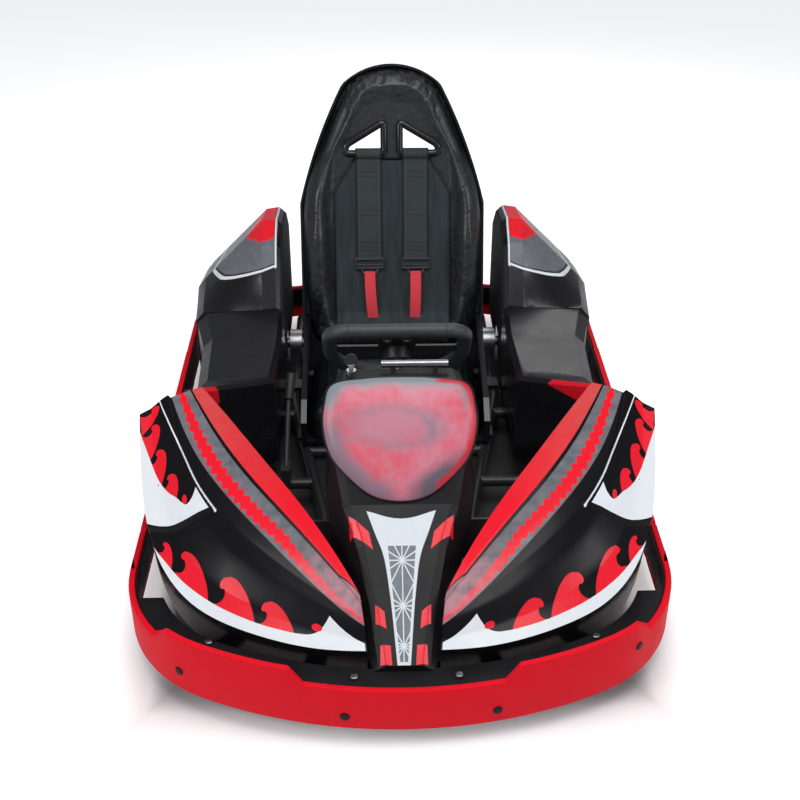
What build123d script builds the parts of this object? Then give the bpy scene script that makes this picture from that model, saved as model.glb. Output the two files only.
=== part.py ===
from build123d import *
import os
from math import cos, hypot, radians, sin, sqrt

# Electric drift kart: tube chassis, bumper ring, moulded fairings, racing seat and direct steering.
# Millimetres. +Z is up, the nose points along -Y, the origin is on the floor below the middle of the kart.
# Left is the driver's left, at +X. Like pieces on the two sides are made once and mirrored.

# Overall size
LENGTH = 1900.0
WIDTH = 1260.0
FIT = 0.3  # gap between neighbouring solids that rest on each other
RUNNING = 0.05  # radial clearance of a shaft in its bush
# The layout is drawn at this size: places along the kart follow LENGTH, those across it follow WIDTH
ALONG = LENGTH / 1900.0
ACROSS = WIDTH / 1260.0

# Bumper ring
FRONT_ARC = 1000.0
REAR_ARC = 1700.0
FRONT_CORNER = 340.0
REAR_CORNER = 220.0
BAND_WALL = 15.0
BAND_BOTTOM = 55.0
BAND_TOP_SIDE = 165.0
BAND_TOP_RAISED = 205.0
BAND_TOP_CENTRE = 167.0
BAND_CENTRE_HALF = 210.0 * ACROSS
BAND_STEP_RUN = 30.0
BAND_RAISED_HALF = 505.0 * ACROSS
BAND_END_RUN = 35.0
BAND_SPLIT_FRONT = -400.0 * ALONG
BAND_SPLIT_REAR = 480.0 * ALONG
BAND_SPLIT_GAP = 2.0
HOOP_WALL = 6.0
HOOP_BOTTOM = 95.0
HOOP_TOP = 160.0
FLANGE_REACH = 58.0
FLANGE_REAR_Y = -640.0 * ALONG
CARRY_TOP = 118.0
CARRY_REACH = 104.0
CARRY_HALF = 25.0
CARRY_XS = (200.0 * ACROSS, 400.0 * ACROSS)

# Chassis tubes
TUBE_R = 15.0
TUBE_Z = 75.0
RAIL_FRONT_X = 190.0 * ACROSS
RAIL_REAR_X = 300.0 * ACROSS
RAIL_FRONT_Y = -770.0 * ALONG
RAIL_KINK_FRONT_Y = -250.0 * ALONG
RAIL_KINK_REAR_Y = 330.0 * ALONG
RAIL_REAR_Y = 850.0 * ALONG
RAIL_BEND_R = 160.0
NOSE_TUBE_Y = -745.0 * ALONG
SEAT_TUBE_Y = 60.0 * ALONG
REAR_TUBE_Y = 815.0 * ALONG
ARM_YS = (-90.0 * ALONG, 250.0 * ALONG)
ARM_NOSE_FLAT = 110.0
ARM_TAIL_FLAT = 65.0
FRONT_ARM_X = 50.0 * ACROSS
REAR_ARM_X = 180.0 * ACROSS
PAN_SHEET = 2.5
PAN_LAP = 14.0
PAN_SETBACK = 20.0

# Floor mats
MAT_X = 137.0 * ACROSS
MAT_WIDTH = 66.0 * ACROSS
MAT_FRONT_Y = -430.0 * ALONG
MAT_REAR_Y = 20.0 * ALONG
MAT_BASE = 3.0
MAT_RIB = 3.0
MAT_RIB_PITCH = 18.0

# Front axle and steering linkage
FRONT_TYRE_R = 130.0
FRONT_WHEEL_ROOM = 82.0
CORNER_LIP_Y = -712.0 * ALONG
FRONT_AXLE_Y = CORNER_LIP_Y + FRONT_WHEEL_ROOM + FRONT_TYRE_R
KINGPIN_X = 345.0 * ACROSS
KINGPIN_R = 6.0
FRONT_HUB_Z = FRONT_TYRE_R
YOKE_PLATE_X = 304.0 * ACROSS
YOKE_PLATE = 8.0
YOKE_HALF = 16.0
YOKE_LUG = 10.0
YOKE_EYE_R = 18.0
SLEEVE_R = 15.0
SLEEVE_HALF = 37.5
LUG_GAP = 0.5
STUB_R = 8.5
STEER_ARM = 80.0
ARM_PLATE = 8.0
ARM_HALF = 10.0
ROD_R = 5.0
ROD_EYE_R = 11.0
ROD_EYE = 12.0
ROD_GAP = 2.0
PIN_R = 5.0
PIN_HEAD = 4.0

# Steering wheel and column
COLUMN_ANGLE = 40.0
COLUMN_RUN = 384.0
WHEEL_CENTRE_Y = FRONT_AXLE_Y + COLUMN_RUN
WHEEL_CENTRE_Z = 500.0
WHEEL_HALF = 165.0
WHEEL_FLAT = 130.0
WHEEL_CORNER = 42.0
GRIP_R = 18.0
SPOKE_PLATE = 5.0
SPOKE_HALF_TOP = 60.0
SPOKE_HALF_MIDDLE = 34.0
SPOKE_HALF_LOW = 22.0
SPOKE_HALF_TIP = 14.0
SPOKE_SIDE_TOP = 34.0
SPOKE_SIDE_LOW = -6.0
SPOKE_FOOT = -40.0
SPOKE_HOLE = (46.0, 22.0)
SPOKE_HOLE_AT = (24.0, 84.0)
HUB_R = 34.0
HUB_LENGTH = 30.0
COLUMN_R = 10.0
SHAFT_R = 9.0
BOOT_R = 22.0
BUSH_R = 22.0
BUSH_LENGTH = 44.0
BUSH_AT = 330.0  # along the column from the steering wheel
STRUT_R = 9.0
STRUT_FOOT_X = 62.0 * ACROSS
STEP_BEARING_R = 22.0
STEP_BEARING_TOP = FRONT_HUB_Z - 9.0
STEP_BEARING_DEPTH = 22.0

# Front wheels
FRONT_WHEEL_X = 430.0 * ACROSS
FRONT_TYRE_WIDTH = 114.0 * ACROSS
FRONT_RIM_R = 64.0

# Rear axle and wheels
REAR_AXLE_Y = 570.0 * ALONG
REAR_AXLE_R = 15.0
REAR_TYRE_R = 140.0
REAR_TYRE_WIDTH = 180.0 * ACROSS
REAR_WHEEL_X = 480.0 * ACROSS
REAR_RIM_R = 68.0
TYRE_WALL = 12.0
TYRE_SHOULDER = 0.16  # share of the tyre's width
TYRE_CROWN = 3.0
RIM_WALL = 8.0
RIM_LIP = 5.0
RIM_HUB_WALL = 12.0
RIM_HOLES = 5
RIM_HOLE_R = 8.0
AXLE_PROUD = 4.0
STUB_PROUD = 8.0
CARRIER_WIDTH = 36.0 * ACROSS
CARRIER_LENGTH = 84.0
DISC_X = -170.0 * ACROSS
DISC_R = 90.0
DISC_WALL = 5.0
DISC_HUB_R = 30.0
DISC_HUB_HALF = 16.0
DISC_HOLES = 6
DISC_HOLE_R = 11.0
DISC_HOLE_AT = 58.0
CALIPER_HALF = 32.0
CALIPER_TALL = 34.0
CALIPER_LAP = 36.0
CALIPER_BACK = 20.0
CALIPER_SLOT = 3.0
CALIPER_BAR = 24.0
CASE_R = 62.0
CASE_WIDTH = 95.0
MOTOR_R = 68.0
MOTOR_LENGTH = 190.0 * ACROSS
MOTOR_X = 20.0 * ACROSS
MOTOR_RAISE = 12.0
MOTOR_ROOM = 9.0
MOTOR_FINS = 8
MOTOR_FIN = 3.0
MOTOR_FIN_RISE = 5.0
NECK_HALF = 44.0
LUG_HALF = 30.0
LUG_FRONT = 60.0

# Nose spine and console as drawn: y, top z, half width of the top, half width of the base, base z
SPINE_WALL = 5.0
SPINE_BEVEL = 16.0
SPINE_DRAWN = (
    (-884.0, 176.0, 54.0, 66.0, HOOP_TOP + FIT),
    (-770.0, 248.0, 72.0, 90.0, 172.0),
    (-660.0, 318.0, 98.0, 120.0, 214.0),
    (-585.0, 372.0, 128.0, 152.0, 262.0),
    (-500.0, 469.9, 152.0, 172.0, 348.0),
    (-400.0, 585.0, 146.0, 164.0, 450.0),
    (-352.0, 585.0, 138.0, 156.0, 478.0),
)
SPINE_SECTIONS = [
    (y * ALONG, top, half_top * ACROSS, half_base * ACROSS, base)
    for y, top, half_top, half_base, base in SPINE_DRAWN
]
DECK_Y, DECK_Z = SPINE_SECTIONS[-1][:2]
# Panel sections from the console up: share of the outline, height
PANEL_RISE = ((1.0, 0.0), (0.985, 9.0), (0.93, 14.0), (0.75, 18.5), (0.4, 22.0))
PANEL_HALF = 176.0 * ACROSS

# Front fairing on the +X side as drawn, nose to cheek: rim point, lip point, skirt's lean and foot height
FAIRING_WALL = 6.0
FAIRING_RIM_DEPTH = 26.0
FAIRING_BASE = CARRY_TOP + FIT
FAIRING_DRAWN = (
    ((93.0, -757.0, 266.0), (77.0, -860.0, 195.0), 6.0, 110.0),
    ((152.0, -650.0, 300.0), (206.0, -846.0, 196.0), 10.0, 110.0),
    ((230.0, -530.0, 340.0), (356.0, -798.0, 208.0), 14.0, 110.0),
    ((316.0, -414.0, 379.0), (481.0, -712.0, 228.0), 16.0, 112.0),
    ((400.0, -300.0, 415.0), (574.0, -545.0, 288.0), 10.0, 185.0),
    ((479.0, -200.0, 450.0), (620.0, -280.0, 412.0), 4.0, 290.0),
)
FAIRING_STATIONS = [
    (*[(x * ACROSS, y * ALONG, z) for x, y, z in (rim_point, lip_point)], lean, foot)
    for rim_point, lip_point, lean, foot in FAIRING_DRAWN
]
CHEEK_Y = -554.0 * ALONG  # front edge of the raised cheek
CHEEK_INNER = 0.54  # its inner edge as a share of the way from rim to lip
CHEEK_RISE = 11.0
# Shape across the fairing: share of the way from rim to lip, rise over the straight line as a share of it
FAIRING_PROFILE = ((0.0, 0.0), (0.21, 0.05), (0.5, 0.085), (0.62, 0.07), (0.82, 0.0), (1.0, 0.0))

PROFILE_STEPS = list(zip(FAIRING_PROFILE, FAIRING_PROFILE[1:]))

# Side pods on the +X side as drawn: inner and outer point in plan, then top z at each
POD_BOTTOM = TUBE_Z + TUBE_R + FIT
REAR_WHEEL_ROOM = 25.0
POD_REAR_Y = REAR_AXLE_Y - REAR_TYRE_R - REAR_WHEEL_ROOM
POD_DRAWN = (
    ((480.5, -197.4), (600.0, -266.2), 446.0, 393.0),
    ((322.0, 0.0), (526.0, 0.0), 350.0, 345.0),
    ((318.0, 250.0), (540.0, 250.0), 342.0, 335.0),
    ((322.0, POD_REAR_Y / ALONG), (576.0, POD_REAR_Y / ALONG), 347.0, 335.0),
)
POD_SECTIONS = [
    (*[(x * ACROSS, y * ALONG) for x, y in (inner, outer)], inner_top, outer_top)
    for inner, outer, inner_top, outer_top in POD_DRAWN
]
POD_EDGE = 14.0

# Rear covers on the +X side as drawn: y, inner x, outer x, inner top z, outer top z
COVER_WALL = 6.0
COVER_BOTTOM = 128.0
COVER_DRAWN = (
    ((POD_REAR_Y + FIT) / ALONG, 322.0, 580.0, 349.0, 337.0),
    (520.0, 324.0, 588.0, 500.0, 345.0),
    (600.0, 324.0, 594.0, 545.0, 352.0),
    (740.0, 324.0, 582.0, 525.0, 345.0),
    (820.0, 324.0, 540.0, 450.0, 305.0),
)
COVER_SECTIONS = [
    (y * ALONG, inner * ACROSS, outer * ACROSS, inner_top, outer_top)
    for y, inner, outer, inner_top, outer_top in COVER_DRAWN
]
COVER_CROWN = 60.0
COVER_SHOULDER = 20.0
COVER_SINK = 6.0
COVER_EDGE = 24.0
COVER_EDGE_DROP = 30.0
ARCH_HALF = 60.0
ARCH_WIDTH = 40.0
ARCH_ROOM = 8.0

# Seat, measured in its own leaning plane: half width at a height above the hip line
SEAT_HIP_Y = 430.0 * ALONG
SEAT_HIP_Z = 200.0
SEAT_LEAN = 19.4
SEAT_HEIGHT = 822.0
SEAT_HALF = 268.0 * ACROSS
SEAT_SHOULDER = 430.0
SEAT_HEAD = 765.0
SEAT_HEAD_HALF = 142.0 * ACROSS
SEAT_ROOT = -70.0
SEAT_ROUND = 60.0
SHELL_WALL = 30.0
SHELL_LIP = 7.0
SHELL_LIP_RISE = 22.0
PAD = 42.0
PAD_INSET = 8.0
PAD_LOW = 60.0
BOLSTER = 52.0
BOLSTER_INNER = 172.0 * ACROSS
BOLSTER_ROUND_IN = 40.0
BOLSTER_ROUND_OUT = 12.0
# Bolster height along the back: height above the hip line, share of the full bolster
BOLSTER_ROWS = ((PAD_LOW, 1.0), (330.0, 1.0), (470.0, 0.35))
BASE_FRONT_Y = 60.0 * ALONG
BASE_REAR_Y = SEAT_HIP_Y + 20.0
BASE_CORNER_RUN = 60.0
BASE_CORNER_RISE = 40.0
BASE_BOTTOM = 100.0
BEARER_HALF = 25.0
BEARER_FROM_HIP = 40.0
BASE_FLOOR = 12.0
BASE_WALL = 16.0
BASE_HALF = 262.0 * ACROSS
BASE_SIDE_FRONT = 210.0
BASE_SIDE_REAR = 300.0
CUSHION_TOP = 188.0
SLOT_IN = 28.0 * ACROSS
SLOT_OUT = 127.0 * ACROSS
SLOT_LOW = 578.0
SLOT_INNER_TOP = 655.0
SLOT_OUTER_TOP = 602.0
SLOT_ROUND = 3.0
BEZEL = 9.0
BEZEL_PROUD = 4.0
BELT_X = 67.0 * ACROSS
BELT_WIDTH = 72.0 * ACROSS
BELT_SHEET = 3.0
BELT_LOW = 246.0
ADJUSTER_HEIGHT = 34.0
ADJUSTER_DEPTH = 12.0
ADJUSTER_LAP = 6.0
TAB_LENGTH = 160.0
TAB_WIDTH = 30.0
TAB_SHEET = 4.0

# Controls
PEDAL_X = 180.0 * ACROSS
PEDAL_ARM_X = 142.0 * ACROSS
PEDAL_WIDTH = 92.0 * ACROSS
PEDAL_HEIGHT = 130.0
PEDAL_PLATE = 6.0
PEDAL_SLEEVE = 44.0
LEVER_X = -296.0 * ACROSS
LEVER_Y = ARM_YS[0]
LEVER_TOP = 300.0
LEVER_BASE_HALF = 12.0
LEVER_BASE_LONG = 26.0
LEVER_BASE_TALL = 60.0
LEVER_STEM_R = 7.0
LEVER_STEM_RUN = 130.0
LEVER_GRIP_R = 13.0
LEVER_GRIP_RUN = 60.0
LEVER_GRIP_RISE = 44.0
LEVER_LEAN = 6.0
PEDAL_COLLAR = 7.0
PEDAL_STEM_HALF = 12.0
PEDAL_STEM = 8.0
PEDAL_LOW = 50.0
PEDAL_RIBS = 6
PEDAL_RIB = 4.0
PEDAL_MARGIN = 14.0
LINK_RISE = 120.0
CLEVIS_HALF = 9.0
CLEVIS_TALL = 12.0
CLEVIS_LONG = 14.0
LINK_R = 4.0
MASTER_R = 17.0
MASTER_FRONT = 215.0
MASTER_REAR = 130.0
MASTER_BRACKET = 14.0
KEY_X = -108.0 * ACROSS
KEY_FROM_EDGE = 24.0
LOCK_R = 11.0
LOCK_TALL = 12.0
KEY_BLADE_HALF = 5.0
KEY_BLADE = 14.0
KEY_HEAD_R = 15.0
KEY_SHEET = 3.0
DASH_BAR_LEFT = -40.0 * ACROSS
DASH_BAR_RIGHT = 112.0 * ACROSS
DASH_BAR_FROM_EDGE = 10.0
DASH_BAR_R = 9.0
DASH_BAR_TALL = 18.0
DASH_POST_R = 5.0
DASH_POST_IN = 28.0 * ACROSS
BATTERY_HALF = 250.0 * ACROSS
BATTERY_FRONT_Y = 775.0 * ALONG
BATTERY_REAR_Y = 850.0 * ALONG
BATTERY_TOP = 330.0
BATTERY_LID = 18.0
BATTERY_SINK = 4.0
BATTERY_RIBS = 9
BATTERY_RIB = 12.0


def box(x0, x1, y0, y1, z0, z1):
    """A block between opposite corners."""
    return Pos((x0 + x1) / 2, (y0 + y1) / 2, (z0 + z1) / 2) * Box(abs(x1 - x0), abs(y1 - y0), abs(z1 - z0))


def rod(start, end, radius):
    """A round bar between two points."""
    a, b = Vector(*start), Vector(*end)
    bar = Cylinder(radius, (b - a).length, align=(Align.CENTER, Align.CENTER, Align.MIN))
    return Plane(a, z_dir=b - a) * bar


def bent_tube(points, radius, bend):
    """A tube along straight runs joined by arcs."""
    path = FilletPolyline(*points, radius=bend)
    return sweep(Plane(path @ 0, z_dir=path % 0) * Circle(radius), path)


def both_sides(shape):
    """The shape and its mirror image across the middle of the kart, as two solids."""
    return Compound(children=[*shape.solids(), *mirror(shape, Plane.YZ).solids()])


def polygon(plane, points):
    return plane * make_face(Polyline(*points, close=True))


# Bumper


def bumper_outline(inset):
    """The ring's outline in plan, moved inwards, as one face: end arcs, corner arcs and straight sides."""
    half_x, half_y = WIDTH / 2, LENGTH / 2
    corners = []
    for end, arc, corner in ((-1, FRONT_ARC, FRONT_CORNER), (1, REAR_ARC, REAR_CORNER)):
        arc_y = end * (half_y - arc)
        corner_x = half_x - corner
        rise = sqrt((arc - corner) ** 2 - corner_x**2)
        corner_y = arc_y + end * rise
        share = (arc - inset) / (arc - corner)
        meet = (corner_x * share, arc_y + end * rise * share)
        middle_x, middle_y = meet[0] - corner_x + corner - inset, meet[1] - corner_y
        reach = (corner - inset) / hypot(middle_x, middle_y)
        between = (corner_x + middle_x * reach, corner_y + middle_y * reach)
        tip = (0, arc_y + end * (arc - inset))
        corners.append((tip, meet, between, (half_x - inset, corner_y)))
    front, rear = corners
    left = [(-x, y) for x, y in front], [(-x, y) for x, y in rear]
    edges = [
        ThreePointArc(left[0][1], front[0], front[1]),
        ThreePointArc(front[1], front[2], front[3]),
        Line(front[3], rear[3]),
        ThreePointArc(rear[3], rear[2], rear[1]),
        ThreePointArc(rear[1], rear[0], left[1][1]),
        ThreePointArc(left[1][1], left[1][2], left[1][3]),
        Line(left[1][3], left[0][3]),
        ThreePointArc(left[0][3], left[0][2], left[0][1]),
    ]
    return make_face(edges)


def ring(inset, wall, bottom, top):
    """Part of the bumper ring between two heights."""
    strip = bumper_outline(inset) - bumper_outline(inset + wall)
    return Pos(0, 0, bottom) * extrude(strip, amount=top - bottom)


def ring_zones():
    """Blocks that cut the ring into a front, two sides and a rear, with a small gap at each joint."""
    far, tall, gap = max(LENGTH, WIDTH), 2 * BAND_TOP_RAISED, BAND_SPLIT_GAP / 2
    front = box(-far, far, -far, BAND_SPLIT_FRONT - gap, 0, tall)
    rear = box(-far, far, BAND_SPLIT_REAR + gap, far, 0, tall)
    side = box(-far, 0, BAND_SPLIT_FRONT + gap, BAND_SPLIT_REAR - gap, 0, tall)
    return front, side, rear


def bumper_bands():
    """The red band: the front has a low middle and raised corners, the sides are lower."""
    front, side, rear = ring_zones()
    step = BAND_CENTRE_HALF + BAND_STEP_RUN
    end = BAND_RAISED_HALF + BAND_END_RUN
    right_side = [
        (BAND_CENTRE_HALF, BAND_TOP_CENTRE),
        (step, BAND_TOP_RAISED),
        (BAND_RAISED_HALF, BAND_TOP_RAISED),
        (end, BAND_TOP_SIDE),
        (WIDTH, BAND_TOP_SIDE),
        (WIDTH, BAND_BOTTOM),
    ]
    skyline = [*right_side, *[(-x, z) for x, z in reversed(right_side)]]
    stepped = extrude(polygon(Plane.XZ, skyline), amount=LENGTH, both=True)
    tall = ring(0, BAND_WALL, BAND_BOTTOM, BAND_TOP_RAISED)
    low = ring(0, BAND_WALL, BAND_BOTTOM, BAND_TOP_SIDE)
    return tall & front & stepped, both_sides(low & side), low & rear


def bumper_hoop():
    """The black steel strip behind the band: a flange at the nose and tabs that carry the fairings."""
    inset = BAND_WALL + FIT
    web = ring(inset, HOOP_WALL, HOOP_BOTTOM, HOOP_TOP)
    nose = box(-WIDTH, WIDTH, -LENGTH, FLANGE_REAR_Y, 0, LENGTH)
    flange = ring(inset, FLANGE_REACH, HOOP_TOP - HOOP_WALL, HOOP_TOP) & nose
    tabs = ring(inset, HOOP_WALL + CARRY_REACH, CARRY_TOP - HOOP_WALL, CARRY_TOP) & nose
    front, side, rear = ring_zones()
    front_hoop = (web & front) + flange
    for x in CARRY_XS:
        lane = box(x - CARRY_HALF, x + CARRY_HALF, -LENGTH, FLANGE_REAR_Y, 0, LENGTH)
        front_hoop += tabs & lane
        front_hoop += tabs & mirror(lane, Plane.YZ)
    pieces = [front_hoop, both_sides(web & side), web & rear]
    return Compound(children=[solid for piece in pieces for solid in piece.solids()])


# Chassis


def rail(grow=0.0):
    """The main tube on the -X side: narrow at the feet, wide at the seat."""
    points = [
        (-RAIL_FRONT_X, RAIL_FRONT_Y, TUBE_Z),
        (-RAIL_FRONT_X, RAIL_KINK_FRONT_Y, TUBE_Z),
        (-RAIL_REAR_X, RAIL_KINK_REAR_Y, TUBE_Z),
        (-RAIL_REAR_X, RAIL_REAR_Y, TUBE_Z),
    ]
    return bent_tube(points, TUBE_R + grow, RAIL_BEND_R)


def rail_x(y):
    """Distance of the main tube's centre from the middle, ignoring its bend arcs."""
    share = (y - RAIL_KINK_FRONT_Y) / (RAIL_KINK_REAR_Y - RAIL_KINK_FRONT_Y)
    return RAIL_FRONT_X + (RAIL_REAR_X - RAIL_FRONT_X) * min(1, max(0, share))


def cross_tubes(rails):
    """Tubes between and outside the rails, coped to them."""
    inner = [(y, rail_x(y)) for y in (NOSE_TUBE_Y, FRONT_AXLE_Y, SEAT_TUBE_Y, REAR_TUBE_Y)]
    tubes = [rod((-x, y, TUBE_Z), (x, y, TUBE_Z), TUBE_R) for y, x in inner]
    stub_end = YOKE_PLATE_X
    stub = rod((-RAIL_FRONT_X, FRONT_AXLE_Y, TUBE_Z), (-stub_end, FRONT_AXLE_Y, TUBE_Z), TUBE_R)
    solids = []
    for tube in [*tubes, stub, mirror(stub, Plane.YZ)]:
        solids += (tube - rails).solids()
    return Compound(children=solids)


def nose_arm(end, x, tube_y, flat, slope_end, hoop_inset):
    """A bracket from the nose or tail cross tube up to the bumper hoop, on the +X side."""
    high = HOOP_TOP - HOOP_WALL - FIT
    block = box(x - TUBE_R, x + TUBE_R, tube_y, end * LENGTH, TUBE_Z - TUBE_R, high)
    inside = extrude(bumper_outline(hoop_inset), amount=HOOP_TOP)
    tube = rod((-WIDTH, tube_y, TUBE_Z), (WIDTH, tube_y, TUBE_Z), TUBE_R + FIT)
    low = TUBE_Z + TUBE_R
    corners = [(tube_y, low), (tube_y, LENGTH), (slope_end, LENGTH), (slope_end, high), (flat, low)]
    return (block & inside) - tube - extrude(polygon(Plane.YZ, corners), amount=WIDTH, both=True)


def bumper_arms(rails, hoop_inset):
    """Side tubes from the rails to the bumper hoop, and brackets at the nose and the tail."""
    side_x = WIDTH / 2 - hoop_inset
    solids = []
    for y in ARM_YS:
        arm = rod((rail_x(y), y, TUBE_Z), (side_x, y, TUBE_Z), TUBE_R)
        post = box(side_x - 2 * TUBE_R, side_x, y - TUBE_R, y + TUBE_R, TUBE_Z, HOOP_TOP)
        solids += both_sides((arm + post) - rails).solids()
    nose = nose_arm(-1, FRONT_ARM_X, NOSE_TUBE_Y, NOSE_TUBE_Y, -LENGTH / 2 + ARM_NOSE_FLAT, hoop_inset)
    tail = nose_arm(1, REAR_ARM_X, REAR_TUBE_Y, BATTERY_REAR_Y + 3, LENGTH / 2 - ARM_TAIL_FLAT, hoop_inset)
    solids += [*both_sides(nose).solids(), *both_sides(tail).solids()]
    return Compound(children=solids)


def floor_pan():
    """The sheet under the driver's legs, just below the tubes."""
    top = TUBE_Z - TUBE_R - FIT
    front, rear = RAIL_FRONT_X + PAN_LAP, rail_x(SEAT_TUBE_Y) + PAN_LAP
    half = [(front, RAIL_FRONT_Y + PAN_SETBACK), (front, RAIL_KINK_FRONT_Y), (rear, SEAT_TUBE_Y)]
    outline = [*half, *[(-x, y) for x, y in reversed(half)]]
    return extrude(polygon(Plane.XY.offset(top - PAN_SHEET), outline), amount=PAN_SHEET)


def floor_mats():
    """A ribbed rubber mat under each heel."""
    base = TUBE_Z - TUBE_R - FIT
    mat = box(-MAT_X - MAT_WIDTH / 2, -MAT_X + MAT_WIDTH / 2, MAT_FRONT_Y, MAT_REAR_Y, base, base + MAT_BASE)
    count = int((MAT_REAR_Y - MAT_FRONT_Y) / MAT_RIB_PITCH)
    for k in range(count):
        y = MAT_FRONT_Y + (k + 0.5) * MAT_RIB_PITCH
        half = MAT_WIDTH / 2 - MAT_RIB
        mat += box(-MAT_X - half, -MAT_X + half, y - MAT_RIB, y + MAT_RIB, base, base + MAT_BASE + MAT_RIB)
    return both_sides(mat)


# Front axle and steering


def yoke():
    """The fork that holds the -X kingpin: a plate on the stub tube, two lugs and the pin."""
    low = FRONT_HUB_Z - SLEEVE_HALF - LUG_GAP - YOKE_LUG
    high = FRONT_HUB_Z + SLEEVE_HALF + LUG_GAP + YOKE_LUG
    x, y = -KINGPIN_X, FRONT_AXLE_Y
    plate_bottom = TUBE_Z - TUBE_R
    made = box(-YOKE_PLATE_X, -YOKE_PLATE_X - YOKE_PLATE, y - YOKE_HALF, y + YOKE_HALF, plate_bottom, high)
    for z0 in (low, high - YOKE_LUG):
        made += box(-YOKE_PLATE_X, x, y - YOKE_HALF, y + YOKE_HALF, z0, z0 + YOKE_LUG)
        made += rod((x, y, z0), (x, y, z0 + YOKE_LUG), YOKE_EYE_R)
    made += rod((x, y, low - PIN_HEAD), (x, y, high + PIN_HEAD), KINGPIN_R)
    return made + rod((x, y, high), (x, y, high + PIN_HEAD), 2 * KINGPIN_R)


def arm_levels(side):
    """Middle height of the tie rod's eye: below the arm on the -X side, above it on the +X side."""
    return FRONT_HUB_Z + side * (ARM_PLATE / 2 + ROD_GAP + ROD_EYE / 2)


def steer_arm(x, y, z_low, z_high):
    """A flat arm towards the nose with its pin, in plan from a pivot."""
    tip = y - STEER_ARM
    low, high = FRONT_HUB_Z - ARM_PLATE / 2, FRONT_HUB_Z + ARM_PLATE / 2
    arm = box(x - ARM_HALF, x + ARM_HALF, tip, y, low, high) + rod((x, tip, low), (x, tip, high), ARM_HALF)
    return arm + rod((x, tip, z_low), (x, tip, z_high), PIN_R)


def knuckle(side):
    """Sleeve on the kingpin, stub axle and steering arm."""
    x, y, z = side * KINGPIN_X, FRONT_AXLE_Y, FRONT_HUB_Z
    sleeve = rod((x, y, z - SLEEVE_HALF), (x, y, z + SLEEVE_HALF), SLEEVE_R)
    tip = side * (FRONT_WHEEL_X + FRONT_TYRE_WIDTH / 2 + STUB_PROUD)
    stub = rod((x, y, z), (tip, y, z), STUB_R)
    eye = arm_levels(side)
    reach = (ROD_EYE / 2 + PIN_HEAD) * side
    ends = sorted((z, eye + reach))
    made = sleeve + stub + steer_arm(x, y, *ends)
    return made - rod((x, y, 0), (x, y, 2 * z), KINGPIN_R + RUNNING)


def tie_rod(side):
    """A rod with an eye at the knuckle and an eye at the steering shaft's arm."""
    y, z = FRONT_AXLE_Y - STEER_ARM, arm_levels(side)
    outer = side * KINGPIN_X
    made = rod((outer, y, z), (0, y, z), ROD_R)
    for x in (outer, 0):
        made += rod((x, y, z - ROD_EYE / 2), (x, y, z + ROD_EYE / 2), ROD_EYE_R)
    for x in (outer, 0):
        made -= rod((x, y, z - ROD_EYE), (x, y, z + ROD_EYE), PIN_R + FIT)
    return made


def column_axis():
    """Unit vector along the column, from the front axle up to the driver."""
    return Vector(0, cos(radians(COLUMN_ANGLE)), sin(radians(COLUMN_ANGLE)))


def wheel_centre():
    return Vector(0, WHEEL_CENTRE_Y, WHEEL_CENTRE_Z)


def joint_centre():
    """Where the column's axis meets the upright shaft over the front axle."""
    along = (WHEEL_CENTRE_Y - FRONT_AXLE_Y) / cos(radians(COLUMN_ANGLE))
    return wheel_centre() - column_axis() * along


def wheel_plane(offset=0.0):
    """Plane of the steering wheel: x to the side, y towards its flat top, z towards the driver."""
    return Plane(wheel_centre() + column_axis() * offset, x_dir=(-1, 0, 0), z_dir=column_axis())


def steering_rim():
    """Closed grip with a flat top and a round bottom."""
    shoulder = WHEEL_FLAT - WHEEL_CORNER
    turn = WHEEL_CORNER * (1 - cos(radians(45)))
    path = Wire(
        [
            Line((-WHEEL_HALF + WHEEL_CORNER, WHEEL_FLAT), (WHEEL_HALF - WHEEL_CORNER, WHEEL_FLAT)),
            ThreePointArc(
                (WHEEL_HALF - WHEEL_CORNER, WHEEL_FLAT),
                (WHEEL_HALF - turn, WHEEL_FLAT - turn),
                (WHEEL_HALF, shoulder),
            ),
            Line((WHEEL_HALF, shoulder), (WHEEL_HALF, 0)),
            ThreePointArc((WHEEL_HALF, 0), (0, -WHEEL_HALF), (-WHEEL_HALF, 0)),
            Line((-WHEEL_HALF, 0), (-WHEEL_HALF, shoulder)),
            ThreePointArc(
                (-WHEEL_HALF, shoulder),
                (-WHEEL_HALF + turn, WHEEL_FLAT - turn),
                (-WHEEL_HALF + WHEEL_CORNER, WHEEL_FLAT),
            ),
        ]
    )
    section = Plane((0, WHEEL_FLAT, 0), z_dir=(1, 0, 0)) * Circle(GRIP_R)
    return wheel_plane() * sweep(section, path)


def steering_spokes(grip):
    """Flat spoke plate and hub, cut to the grip."""
    top, middle, low, tip = SPOKE_HALF_TOP, SPOKE_HALF_MIDDLE, SPOKE_HALF_LOW, SPOKE_HALF_TIP
    high, side = WHEEL_FLAT, WHEEL_HALF
    upper = [(-middle, SPOKE_FOOT), (middle, SPOKE_FOOT), (top, high), (-top, high)]
    plate = make_face(Polyline(*upper, close=True))
    bar = Rectangle(2 * side, SPOKE_SIDE_TOP - SPOKE_SIDE_LOW)
    plate += Pos(0, (SPOKE_SIDE_TOP + SPOKE_SIDE_LOW) / 2) * bar
    plate += make_face(Polyline((-low, 0), (low, 0), (tip, -side), (-tip, -side), close=True))
    x, y = SPOKE_HOLE_AT
    plate -= [Pos(end * x, y) * SlotOverall(*SPOKE_HOLE, rotation=90) for end in (-1, 1)]
    flat = wheel_plane(-SPOKE_PLATE / 2) * extrude(plate, amount=SPOKE_PLATE)
    stand = (Align.CENTER, Align.CENTER, Align.MIN)
    hub = wheel_plane(-HUB_LENGTH) * Cylinder(HUB_R, HUB_LENGTH + SPOKE_PLATE, align=stand)
    return (flat + hub) - grip


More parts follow.
